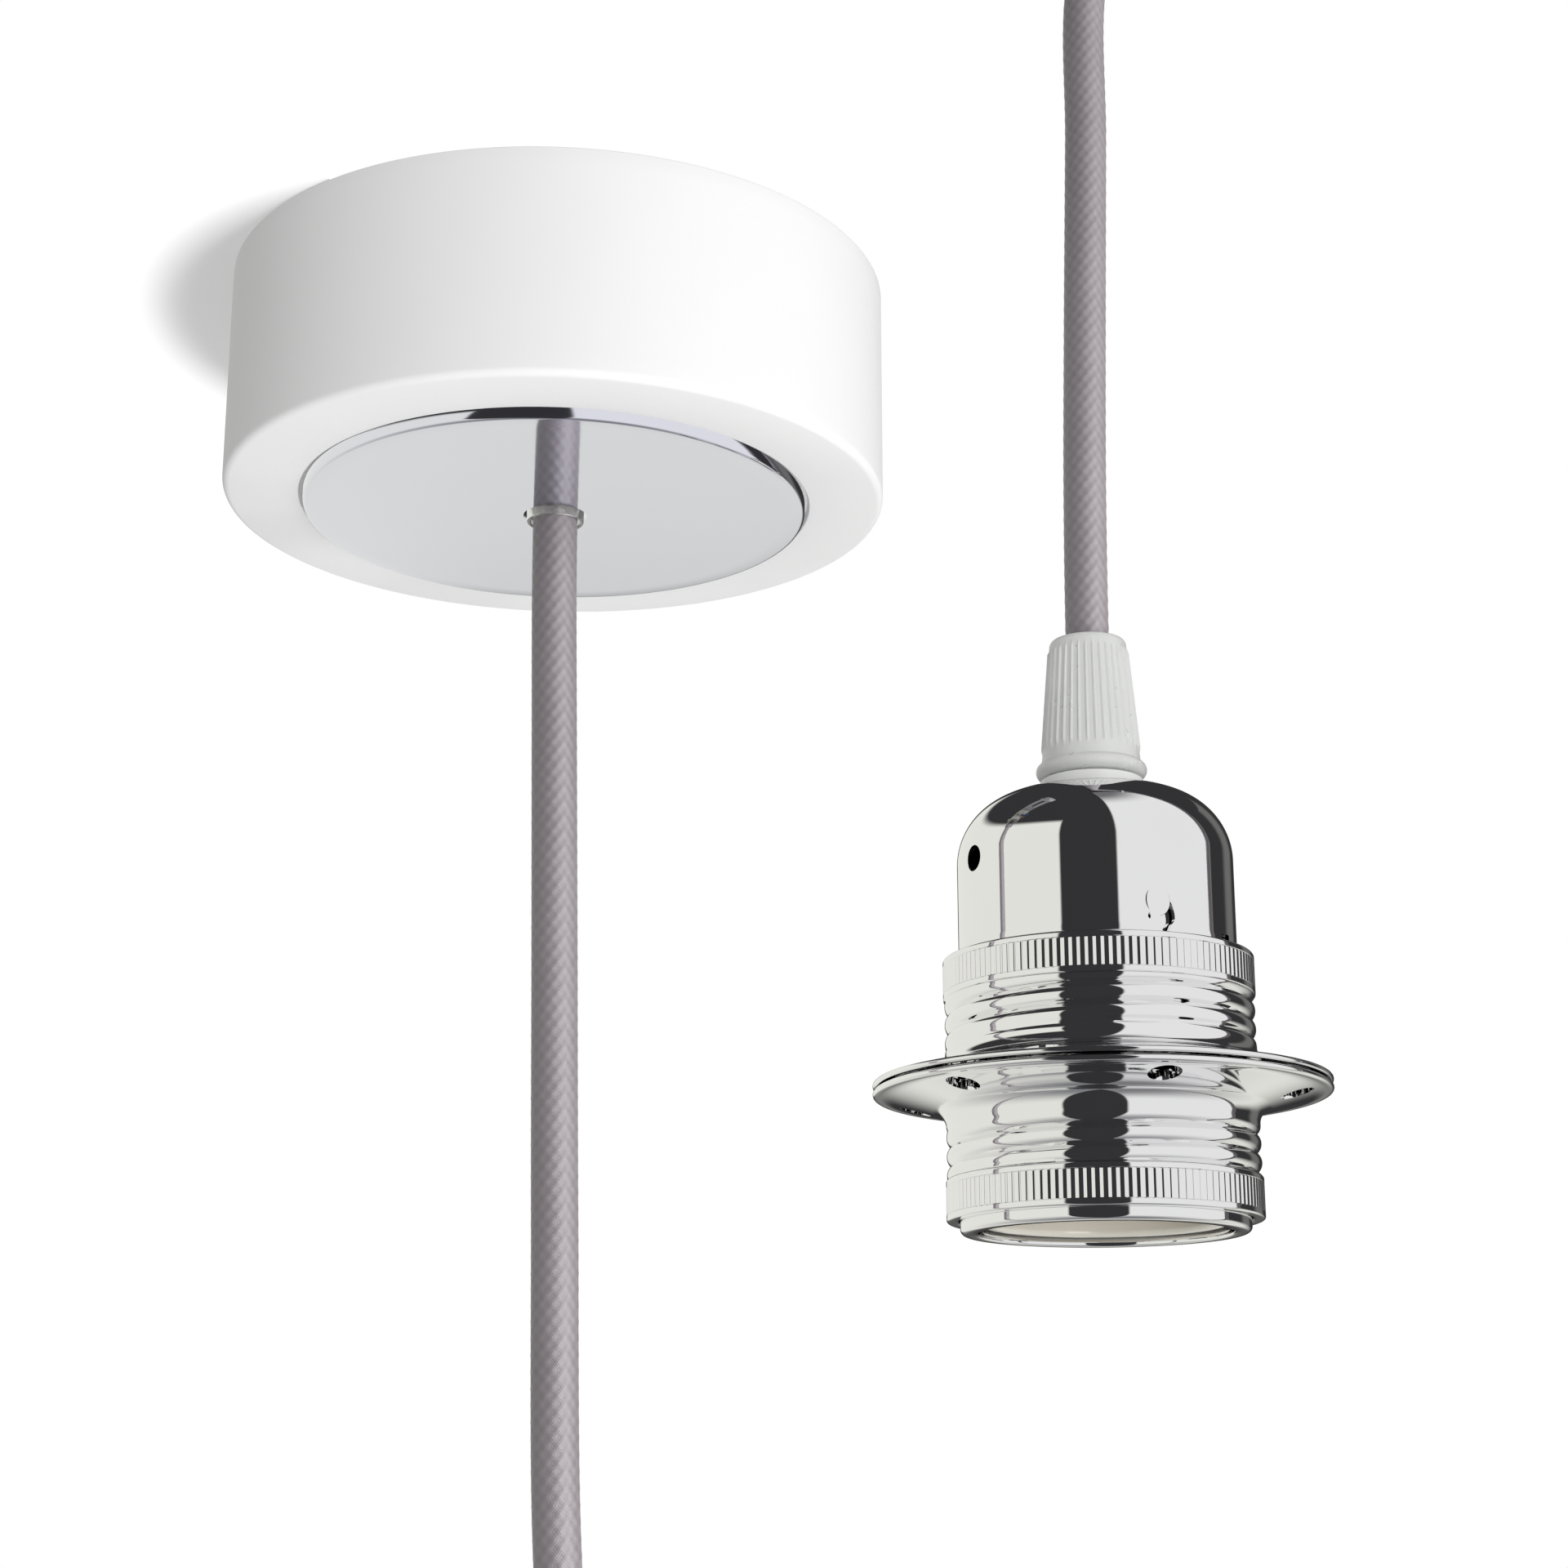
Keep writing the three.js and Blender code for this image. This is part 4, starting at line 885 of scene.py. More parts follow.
def cord_piece(settings):
    """Braided cord with the path of its ring centres."""
    points = [CORD_START, CORD_IN_ROSE, *CORD_ROUTE, CORD_IN_GRIP, CORD_END]
    path = smooth_curve(points, settings.ring_step)
    row = math.pi / settings.pick
    relief = settings.relief

    def strands(distance, angle):
        return relief * np.cos(settings.carriers * angle) * np.cos(row * distance) - relief

    obj = tube("textile_cord", path, settings.diameter / 2, 48, strands)
    return obj, path


# Length, depth and pitch of the hook's wood thread
HOOK_THREAD = 8 * MM
HOOK_THREAD_DEPTH = 0.38 * MM
HOOK_THREAD_PITCH = 1.6 * MM


def hook_piece(settings):
    """Open hook that the cord hangs over, with a wood thread on its shank."""
    crown = max(CORD_ROUTE, key=lambda point: point[2])
    radius = 6.5 * MM
    bend = crown[2] - settings.diameter / 2 - 0.5 * MM - settings.hook_rod / 2 + radius
    x, y = crown[:2]
    top = bend + 16 * MM
    path = smooth_curve([
        (x, y - radius, bend + 3 * MM),
        *[(x, py, pz) for py, pz in arc(y, bend, radius, 180, 360, 6)],
        (x, y + 0.95 * radius, bend + 4.8 * MM), (x, y + 0.4 * radius, bend + 9.92 * MM),
        (x, y, top), (x, y, top + HOOK_THREAD)], 0.25 * MM)
    whole = path_length(path)

    def screw_thread(distance, angle):
        on = np.clip((distance - whole + HOOK_THREAD) / (1.5 * MM), 0, 1)
        tip = np.clip((whole - distance) / (1.2 * MM), 0.55, 1) - 1
        round_end = np.minimum(0, distance / (1.0 * MM) - 1)
        wave = 0.5 * (np.cos(2 * math.pi * distance / HOOK_THREAD_PITCH - angle) - 1)
        return on * HOOK_THREAD_DEPTH * wave + tip * 1.6 * MM - 1.2 * MM * round_end ** 2

    return tube("ceiling_hook", path, settings.hook_rod / 2, 40, screw_thread)


def shade_ring(name, settings, spin, hole_turn, material):
    """Ring on the plane where the two meet: flange, flare, rolled thread, knurled collar and holes."""
    half_gap = FIT / 2
    wall, cone, flare = settings.wall, settings.cone, settings.flare
    cone_deg = math.degrees(cone)
    land = FLANGE_R - settings.land
    centre = settings.crest + flare
    outer = flare + wall
    flare_z = half_gap + outer * math.cos(cone) + (land - centre + outer * math.sin(cone)) * math.tan(cone)
    thread_end = flare_z + settings.pitch * settings.turns
    top = RING_TOP - RINGS_MEET
    bore = settings.crest - settings.depth - wall
    low, high = thread_end + settings.lip, top - settings.lip
    chamfer, nick, small = 0.3 * MM, 0.12 * MM, BROKEN_EDGE
    collar = settings.collar
    foot = collar - 0.5 * MM
    crest_line = line((settings.crest, flare_z), (settings.crest, thread_end), 40)[:-1]
    bore_line = [(bore + settings.depth, z) for _, z in reversed(crest_line)]
    rim = wall / 2
    flare_foot = (centre - flare * math.sin(cone), flare_z - flare * math.cos(cone))
    bore_foot = (centre - (centre - bore) * math.sin(cone), flare_z - (centre - bore) * math.cos(cone))
    profile = [
        (land, half_gap),
        *line((land, half_gap), (FLANGE_R - rim, half_gap), 4),
        *arc(FLANGE_R - rim, half_gap + rim, rim, -75, 90, 8),
        *line((FLANGE_R - rim, half_gap + wall), (land + 0.3 * MM, half_gap + wall), 3),
        *line((land, half_gap + wall), flare_foot, 12),
        *arc(centre, flare_z, flare, 268 - cone_deg, 181, 14),
        *crest_line,
        (settings.crest, thread_end),
        (collar - chamfer, thread_end + 0.02 * MM),
        *arc(collar - chamfer, thread_end + chamfer, chamfer, -70, 0, 5),
        (collar, low - nick), (collar - nick, low), (foot, low),
        *line((foot, low), (foot, high), 6),
        (collar - nick, high), (collar, high + nick),
        *arc(collar - chamfer, top - chamfer, chamfer, 0, 90, 6),
        *line((collar - chamfer, top), (bore + small, top), 3),
        *arc(bore + small, top - small, small, 110, 180, 3),
        (bore, thread_end),
        *bore_line,
        *arc(centre, flare_z, centre - bore, 180, 270 - cone_deg, 14),
        *line(bore_foot, (land - 0.1 * MM, half_gap + 0.02 * MM), 10),
    ]

    def rolled(radius, height, angle):
        inside = (height > flare_z) & (height < thread_end)
        walls = (np.abs(radius - settings.crest) < SAME) | (np.abs(radius - bore - settings.depth) < SAME)
        phase = (height - flare_z) / settings.pitch - angle / (2 * math.pi)
        across = 2 * np.abs(phase - np.round(phase))
        valley = np.minimum(across ** 2.2, 0.97)
        fade = np.clip((height - flare_z) / (0.5 * settings.pitch), 0, 1)
        fade = fade * np.clip((thread_end - height) / (0.12 * settings.pitch), 0, 1)
        return np.where(inside & walls, -settings.depth * valley * fade, 0.0)

    ring = revolve(name, profile, Vector((0, 0)), RING_ROUND, rolled)
    Tree.run(perforation_tree(), ring, {
        "Holes": settings.holes, "Radius": settings.hole / 2, "Circle": settings.hole_circle,
        "Turn": hole_turn, "Depth": 2 * flare_z, "Material": material})
    Tree.run(knurl_tree(), ring, {
        "Teeth": settings.teeth, "Radius": collar, "Width": settings.tooth_width,
        "Depth": settings.tooth_depth, "Low": low, "High": high, "Material": material})
    return on_holder(ring, RINGS_MEET, Matrix.Rotation(spin, 4, "X"))


def skirt_piece(dome):
    """Skirt that carries the rings, with the neck that the dome sits on."""
    wall, edge = dome.wall, dome.mouth_edge
    shoulder = RING_TOP
    neck = DOME_R - wall - FIT
    neck_bore = neck - wall
    bore = SKIRT_R - wall
    lip, small = 0.3 * MM, BROKEN_EDGE
    return revolve("skirt_tube", [
        *arc(neck_bore + lip, MOUTH + lip, lip, 180, 270, 4),
        *arc(SKIRT_R - edge, MOUTH + edge, edge, -90, 0, 8),
        *line((SKIRT_R, MOUTH + edge), (SKIRT_R, shoulder - small), 16),
        *arc(SKIRT_R - small, shoulder - small, small, 20, 90, 3),
        (neck, shoulder), *line((neck, shoulder), (neck, NECK_TOP), 6),
        (neck_bore, NECK_TOP), (neck_bore, shoulder - wall), (bore, shoulder - wall),
        *line((bore, shoulder - wall), (bore, MOUTH + wall), 10),
        (neck_bore, MOUTH + wall),
    ], HOLDER_AXIS, LARGE_ROUND)


# Length of the tools that cut through the dome's wall, and radius of the lock nut's bore
WALL_TOOL = 4 * MM
NUT_BORE_R = 5.3 * MM


def upright(obj, depth, angle, reach, height):
    """Turns an outline's solid upright so that it faces outward on the dome's wall."""
    spot = Vector((HOLDER_AXIS.x, HOLDER_AXIS.y, height)) + outward(angle) * reach
    return place(obj, Matrix.Translation(spot) @ Matrix.Rotation(angle, 4, "Z")
                 @ Matrix.Rotation(math.pi / 2, 4, "X") @ Matrix.Translation((0, 0, -depth / 2)))


def wall_tool(outline, angle, height):
    """Tool that cuts an outline through the dome's wall."""
    return upright(prism("wall_tool", outline, WALL_TOOL), WALL_TOOL, angle, DOME_R, height)


def dome_piece(settings):
    """Dome with a hole for the grip, a side hole, a pressed lug and a notch in its foot."""
    wall, shoulder = settings.wall, settings.shoulder
    centre = DOME_R - shoulder
    centre_z = DOME_TOP - shoulder
    inner = DOME_R - wall
    foot = BROKEN_EDGE
    dome = revolve("dome_shell", [
        *arc(inner + foot, DOME_FOOT + foot, foot, 190, 270, 3),
        *arc(DOME_R - foot, DOME_FOOT + foot, foot, 270, 350, 3),
        *line((DOME_R, DOME_FOOT + foot), (DOME_R, centre_z), 14),
        *arc(centre, centre_z, shoulder, 1.5, 90, 44),
        *line((centre, DOME_TOP), (settings.nipple, DOME_TOP), 4),
        (settings.nipple, DOME_TOP - wall),
        (centre - 0.3 * MM, DOME_TOP - wall),
        *arc(centre, centre_z, shoulder - wall, 90, 0, 20),
        *line((inner, centre_z), (inner, DOME_FOOT + 2 * foot), 8),
    ], HOLDER_AXIS, LARGE_ROUND)
    lug_centre = DOME_FOOT + settings.lug_rise
    side_hole = lay_outward(drill(settings.hole / 2, 6 * MM), settings.hole_turn, HOLDER_AXIS,
                            DOME_FOOT + settings.hole_height, DOME_R - 3 * MM)
    openings = [wall_tool(smooth_outline(points, settings.lug_size), settings.lug_turn, lug_centre)
                for points in (LUG_OPENING, LUG_SLIT)]
    notch = wall_tool(rectangle(settings.notch_width, 2 * settings.notch_height),
                      settings.notch_turn, DOME_FOOT)
    cut(dome, side_hole, *openings, notch)
    return joined("dome_shell", [dome, lug_bump(settings, lug_centre)])


# Outlines of the openings beside and below the lug's bump, from its centre, in shares of the lug's size
LUG_OPENING = [(0.245, 0.11), (0.387, -0.11), (0.443, -0.44), (0.349, -0.58), (0.264, -0.73),
               (0.085, -0.73), (0.066, -0.54), (0.038, -0.37), (0.198, -0.26), (0.283, -0.11)]
LUG_SLIT = [(-0.245, -0.30), (-0.208, -0.375), (-0.226, -0.47), (-0.274, -0.415)]


def smooth_outline(shares, size):
    """Closed smooth outline through points that are given as shares of a size."""
    ring = [(x * size, y * size, 0.0) for x, y in [*shares, shares[0]]]
    return [(x, y) for x, y, _ in smooth_curve(ring, 0.12 * MM)[:-1]]


def lug_bump(settings, centre):
    """Shallow round bump pressed out of the dome's wall."""
    half = settings.lug_width / 2
    depth = 2 * settings.lug_proud
    build = bmesh.new()
    bmesh.ops.create_uvsphere(build, u_segments=48, v_segments=24, radius=1.0)
    bump = place(built("lug_bump", build), Matrix.Diagonal((half, 1.15 * half, depth, 1.0)))
    return upright(bump, 0.0, settings.lug_turn, DOME_R - settings.lug_proud, centre)


def barrel_piece(settings):
    """Ceramic barrel with a rounded mouth."""
    bore = BARREL_R - settings.barrel_wall
    lip = 0.7 * MM
    return revolve("ceramic_barrel", [
        *arc(bore + lip, BARREL_FOOT + lip, lip, 180, 270, 5),
        *arc(BARREL_R - lip, BARREL_FOOT + lip, lip, 270, 360, 6),
        *line((BARREL_R, BARREL_FOOT + lip), (BARREL_R, BARREL_TOP), 8),
        (bore, BARREL_TOP),
        *line((bore, BARREL_TOP), (bore, BARREL_FOOT + 1.2 * lip), 8),
    ], HOLDER_AXIS, SMALL_ROUND)


def shell_piece(settings):
    """Brass shell with a rolled lamp thread."""
    rows = 90
    wall, depth = settings.shell_wall, settings.shell_depth
    crest = SHELL_R - wall
    heights = [SHELL_FOOT + (SHELL_TOP - SHELL_FOOT) * i / rows for i in range(rows + 1)]
    profile = [(crest + wall, z) for z in heights] + [(crest, z) for z in reversed(heights)]

    def rolled(radius, height, angle):
        phase = (height - SHELL_FOOT) / settings.shell_pitch - angle / (2 * math.pi)
        return -depth * (0.5 - 0.5 * np.cos(2 * math.pi * phase))

    return revolve("lamp_thread", profile, HOLDER_AXIS, 144, rolled)


def cap_piece(settings, material):
    """Tapered cap with a bead at its foot, a narrow bore at its top and slim ribs."""
    body_foot = CAP_FOOT + settings.bead
    slope = (settings.foot_radius - settings.top_radius) / (CAP_TOP - body_foot)
    roof = CAP_TOP - settings.roof
    bead = settings.bead / 2

    def outer(z):
        return settings.foot_radius - slope * (z - body_foot)

    def inner(z):
        return settings.foot_radius - slope * (z - CAP_FOOT) - settings.wall

    edge, small, fillet = settings.edge, BROKEN_EDGE, 0.35 * MM
    bore = settings.bore
    profile = [
        *arc(CAP_R - bead, CAP_FOOT + bead, bead, -90, 75, 12),
        *arc(settings.foot_radius + fillet, body_foot + small, fillet, 250, 180, 4),
        *line((outer(body_foot + 0.5 * MM), body_foot + 0.5 * MM),
              (outer(CAP_TOP - edge), CAP_TOP - edge), 40),
        *arc(settings.top_radius - edge, CAP_TOP - edge, edge, 5, 90, 6),
        (bore + small, CAP_TOP), (bore, CAP_TOP - small),
        *line((bore, CAP_TOP - small), (bore, roof), 5),
        *line((bore, roof), (inner(roof), roof), 2),
        *line((inner(roof), roof), (inner(CAP_FOOT), CAP_FOOT), 8),
    ]
    cap = revolve("grip_cap_moulding", profile, Vector((0, 0)), CAP_ROUND)
    low, high = body_foot + 1.6 * MM, CAP_TOP - 1.4 * MM
    Tree.run(rib_tree(), cap, {
        "Ribs": settings.ribs, "Radius": outer(low), "Slope": slope, "Height": settings.rib_height,
        "Low": low, "High": high, "Material": material})
    return on_holder(cap)


def collet_piece(settings):
    """Base, threaded nipple and slit collet that the cap presses on the cord."""
    foot = DOME_TOP + FIT
    base_top = foot + settings.base_height
    slope = (settings.foot_radius - settings.top_radius) / (CAP_TOP - CAP_FOOT - settings.bead)

    def outer(z):
        return settings.foot_radius - slope * (z - CAP_FOOT) - settings.wall - FIT

    bore, nipple = settings.bore, settings.nipple
    edge = 0.3 * MM
    profile = [
        (bore, GRIP_LOW), *line((bore, GRIP_LOW), (nipple - edge, GRIP_LOW), 2),
        *line((nipple - edge, GRIP_LOW), (nipple, GRIP_LOW + edge), 1),
        *line((nipple, GRIP_LOW + edge), (nipple, foot - edge), 40),
        (nipple, foot), (GRIP_BASE_R - edge, foot),
        *arc(GRIP_BASE_R - edge, foot + edge, edge, -75, 0, 4),
        *arc(GRIP_BASE_R - edge, base_top - edge, edge, 0, 90, 4),
        (outer(CAP_FOOT), base_top),
        *line((outer(CAP_FOOT), base_top), (outer(COLLET_TOP), COLLET_TOP), 10),
        (bore, COLLET_TOP),
        *line((bore, COLLET_TOP), (bore, GRIP_LOW + 0.5 * MM), 12),
    ]

    def thread(radius, height, angle):
        on = (np.abs(radius - nipple) < SAME) & (height < foot - 0.5 * MM)
        wave = 0.5 * (np.cos(2 * math.pi * height / MM - angle) - 1)
        return np.where(on, 0.3 * MM * wave, 0.0)

    collet = revolve("grip_collet_moulding", profile, HOLDER_AXIS, SMALL_ROUND, thread)
    slit_foot = base_top + 3 * MM
    for angle in (0, math.pi / 2):
        slit = prism("slit", rectangle(1 * MM, 16 * MM), COLLET_TOP + MM - slit_foot)
        cut(collet, on_holder(slit, slit_foot, Matrix.Rotation(angle, 4, "Z")))
    return collet


def lock_nut():
    """Six-sided nut that holds the grip in the dome."""
    low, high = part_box("grip_nut")
    corner = (high.y - low.y) / 2 / math.cos(math.pi / 6)
    nut = prism("lock_nut", circle(corner, 6), NUT_TOP - NUT_LOW)
    build = bmesh.new()
    build.from_mesh(nut.data)
    bmesh.ops.bevel(build, geom=build.edges[:], offset=0.3 * MM, segments=2, affect="EDGES")
    build.to_mesh(nut.data)
    build.free()
    bore = on_holder(drill(NUT_BORE_R, 10 * MM, 64), NUT_LOW - MM)
    return cut(on_holder(nut, NUT_LOW), bore)


# Operators

class PENDANT_OT_cord(bpy.types.Operator):
    """Braided cord along its route, with the hook that holds it up"""
    bl_idname = "pendant.cord"
    bl_label = "Cord and hook"

    def execute(self, context):
        settings = context.scene.pendant_cord
        cord, path = cord_piece(settings)
        hand_over(cord, braided_textile(settings), "textile", "cord")
        hook = hook_piece(settings)
        hand_over(hook, plain_metal("zinc_plate", (0.70, 0.71, 0.73), 0.3), "steel", "support_hook")
        return {"FINISHED"}


class PENDANT_OT_rose(bpy.types.Operator):
    """Powder-coated cup, polished disc and clear bush of the ceiling rose"""
    bl_idname = "pendant.rose"
    bl_label = "Ceiling rose"

    def execute(self, context):
        settings = context.scene.pendant_rose
        hand_over(rose_cup(settings), powder_coat(settings.paint), "white_paint", "rose_housing")
        hand_over(rose_disc(settings), polished_plate("disc_plate", settings.disc, 0.07),
                  "polished_disc", "rose_cover_disc")
        hand_over(bush_sleeve(settings), clear_plastic((0.95, 0.95, 0.94)), "clear_plastic",
                  "cord_bush")
        return {"FINISHED"}


class PENDANT_OT_rings(bpy.types.Operator):
    """Two shade rings with rolled threads, knurled collars and bored flanges"""
    bl_idname = "pendant.rings"
    bl_label = "Shade rings"

    def execute(self, context):
        settings = context.scene.pendant_rings
        plate = polished_plate("ring_plate", settings.plate, 0.045)
        upper = shade_ring("flanged_ring_upper", settings, 0.0, settings.upper_turn, plate)
        hand_over(upper, plate, "chrome", "shade_ring_upper")
        lower = shade_ring("flanged_ring_lower", settings, math.pi, -settings.lower_turn, plate)
        hand_over(lower, plate, "chrome", "shade_ring_lower")
        return {"FINISHED"}


class PENDANT_OT_shell(bpy.types.Operator):
    """Threaded skirt and dome of the lamp holder"""
    bl_idname = "pendant.shell"
    bl_label = "Holder shell"

    def execute(self, context):
        settings = context.scene.pendant_dome
        plate = polished_plate("shell_plate", context.scene.pendant_rings.plate, 0.03)
        hand_over(skirt_piece(settings), plate, "chrome", "threaded_skirt")
        hand_over(dome_piece(settings), plate, "chrome", "holder_dome")
        return {"FINISHED"}


class PENDANT_OT_socket(bpy.types.Operator):
    """Ceramic barrel, screw shell and contacts inside the holder"""
    bl_idname = "pendant.socket"
    bl_label = "Lamp socket"

    def execute(self, context):
        settings = context.scene.pendant_socket
        hand_over(barrel_piece(settings), glazed(settings.glaze), "porcelain", "socket_barrel")
        hand_over(shell_piece(settings), plain_metal("thread_brass", settings.metal, 0.22), "brass",
                  "screw_shell")
        return {"FINISHED"}


class PENDANT_OT_grip(bpy.types.Operator):
    """Frosted cord grip and its lock nut"""
    bl_idname = "pendant.grip"
    bl_label = "Cord grip"

    def execute(self, context):
        settings = context.scene.pendant_grip
        plastic = frosted_plastic("cap_plastic", settings.tint, 0.3)
        hand_over(cap_piece(settings, plastic), plastic, "clear_plastic", "grip_cap")
        hand_over(collet_piece(settings), frosted_plastic("collet_plastic", settings.tint, 0.0),
                  "clear_plastic", "grip_base")
        hand_over(lock_nut(), plain_metal("nut_plate", (0.72, 0.73, 0.75), 0.28), "steel", "grip_nut")
        return {"FINISHED"}


class PENDANT_OT_fittings(bpy.types.Operator):
    """Terminal screws, and finishes of the hidden fittings"""
    bl_idname = "pendant.fittings"
    bl_label = "Hidden fittings"

    def execute(self, context):
        terminals = [f"terminal_screw_{i}" for i in range(1, 5)]
        spots = [sum(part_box(node), Vector()) / 2 for node in terminals]
        mesh = bpy.data.meshes.new("terminal_screws")
        mesh.from_pydata([tuple(spot) for spot in spots], [], [])
        screws = link_mesh("terminal_screws", mesh)
        brass = plain_metal("screw_brass", context.scene.pendant_socket.metal, 0.25)
        low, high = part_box(terminals[0])
        Tree.run(slotted_screw_tree(), screws, {
            "Radius": (high.x - low.x) / 2, "Height": high.z - low.z, "Slot": SLOT_WIDTH,
            "Material": brass})
        hand_over(screws, brass, "brass", *terminals)
        finishes = {
            "steel": plain_metal("bracket_zinc", (0.68, 0.69, 0.71), 0.34),
            "brass": brass,
            "nylon": moulded("nylon", (0.86, 0.85, 0.81), 0.5),
            "porcelain": glazed(context.scene.pendant_socket.glaze),
            "brown_wire": moulded("brown_insulation", (0.20, 0.09, 0.045), 0.42),
            "blue_wire": moulded("blue_insulation", (0.035, 0.10, 0.32), 0.42),
            "green_wire": moulded("green_insulation", (0.12, 0.30, 0.04), 0.42),
        }
        slots = {part["node"]: part["material_slot"] for part in frame["record"]["subparts"]}
        for name, node in frame["nodes"].items():
            if node.hide_render:
                continue
            node.data.materials.clear()
            node.data.materials.append(finishes[slots[name]])
        return {"FINISHED"}


def stage_material(name, rgb, glow):
    """Pale surface that keeps the object's shadow and is lifted to white for the camera."""
    made = Finish(name, Base_Color=rgb, Roughness=0.9, Specular_IOR_Level=0.0)
    made.set("Emission Color", (1.0, 1.0, 1.0))
    made.set("Emission Strength", glow)
    return made.material


def stage_plane(name, corners, z, material):
    """Flat backdrop that only the camera sees and that throws no shadow."""
    mesh = bpy.data.meshes.new(name)
    mesh.from_pydata([(x, y, z) for x, y in corners], [], [tuple(range(len(corners)))])
    mesh.materials.append(material)
    plane = link_mesh(name, mesh)
    plane.visible_diffuse = False
    plane.visible_glossy = False
    plane.visible_transmission = False
    plane.visible_shadow = False
    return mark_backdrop(plane)


def area_lamp(name, place_at, aim_at, width, height, watts, seen=True):
    """Rectangular lamp that looks at a point, and that gloss shows where it is seen."""
    data = bpy.data.lights.new(name, "AREA")
    data.shape = "RECTANGLE"
    data.size = width
    data.size_y = height
    data.energy = watts
    lamp = bpy.data.objects.new(name, data)
    bpy.context.scene.collection.objects.link(lamp)
    lamp.location = place_at
    lamp.rotation_euler = (Vector(aim_at) - Vector(place_at)).to_track_quat("-Z", "Y").to_euler()
    lamp.visible_glossy = seen
    return lamp


def link_lamp(lamp, names, state, use="receiver"):
    """Lets a lamp light, or be shaded by, only the named pieces or all but them."""
    group = bpy.data.collections.new(f"{lamp.name}_{use}")
    for obj in bpy.context.scene.objects:
        if obj.type == "MESH" and obj.name in names:
            group.objects.link(obj)
    setattr(lamp.light_linking, use + "_collection", group)
    for item in group.collection_objects:
        item.light_linking.link_state = state


# Where the photo was taken from in metres, how far it looks up, and its lens on a 36 mm sensor
CAMERA_PLACE = (0.030723, -0.339991, -0.160868)
CAMERA_PITCH = 15.2
CAMERA_LENS = 61.875


def add_camera():
    data = bpy.data.cameras.new("photo_camera")
    data.lens = CAMERA_LENS
    data.sensor_width = 36.0
    data.clip_start = 0.01
    camera = bpy.data.objects.new("photo_camera", data)
    bpy.context.scene.collection.objects.link(camera)
    camera.location = CAMERA_PLACE
    camera.rotation_euler = (math.radians(90 + CAMERA_PITCH), 0, 0)
    bpy.context.scene.camera = camera


CHROME_PIECES = {"flanged_ring_upper", "flanged_ring_lower", "skirt_tube", "dome_shell", "rose_disc"}
ROSE_PIECES = {"rose_cup", "rose_disc", "bush_sleeve"}

# Side of the floor, points that lamps aim at, and the piece of ceiling to the left of the right cord
FLOOR_SIZE = 4
WHOLE_SET = (0.03, 0.0, -0.05)
ROSE_CENTRE = (0.0, 0.0, 0.0)
CEILING_PATCH = [(-0.16, -0.06), (-0.16, 0.11), (0.0, 0.11), (0.0, 0.0), (-0.044, -0.06)]

WHITE = (1.0, 1.0, 1.0)

# The studio that polished metal shows: each dark panel spans azimuths from the front, positive to +X
DARK_FRONT = (-35, 12)
DARK_BACK = (103, -172)
STREAK = (128, 146)
PANEL_EDGE = 1.2
BACK_EDGE = 2.5

# Elevations between which a panel fades in, and its colours
CANOPY = (32, 38)
BACK_RISE = (-24, -2)
LEFT_RISE = (-85, -12)
RIGHT_RISE = (-75, -22)
RIGHT_TOP_RISE = (62, 82)
DARK = (0.035, 0.034, 0.036)
LEFT_FOOT = (0.20, 0.205, 0.22)
PALE_LEFT = (0.83, 0.83, 0.78)
RIGHT_FOOT = (0.22, 0.22, 0.23)
PALE_RIGHT = (0.84, 0.84, 0.84)
RIGHT_TOP = (0.16, 0.16, 0.165)


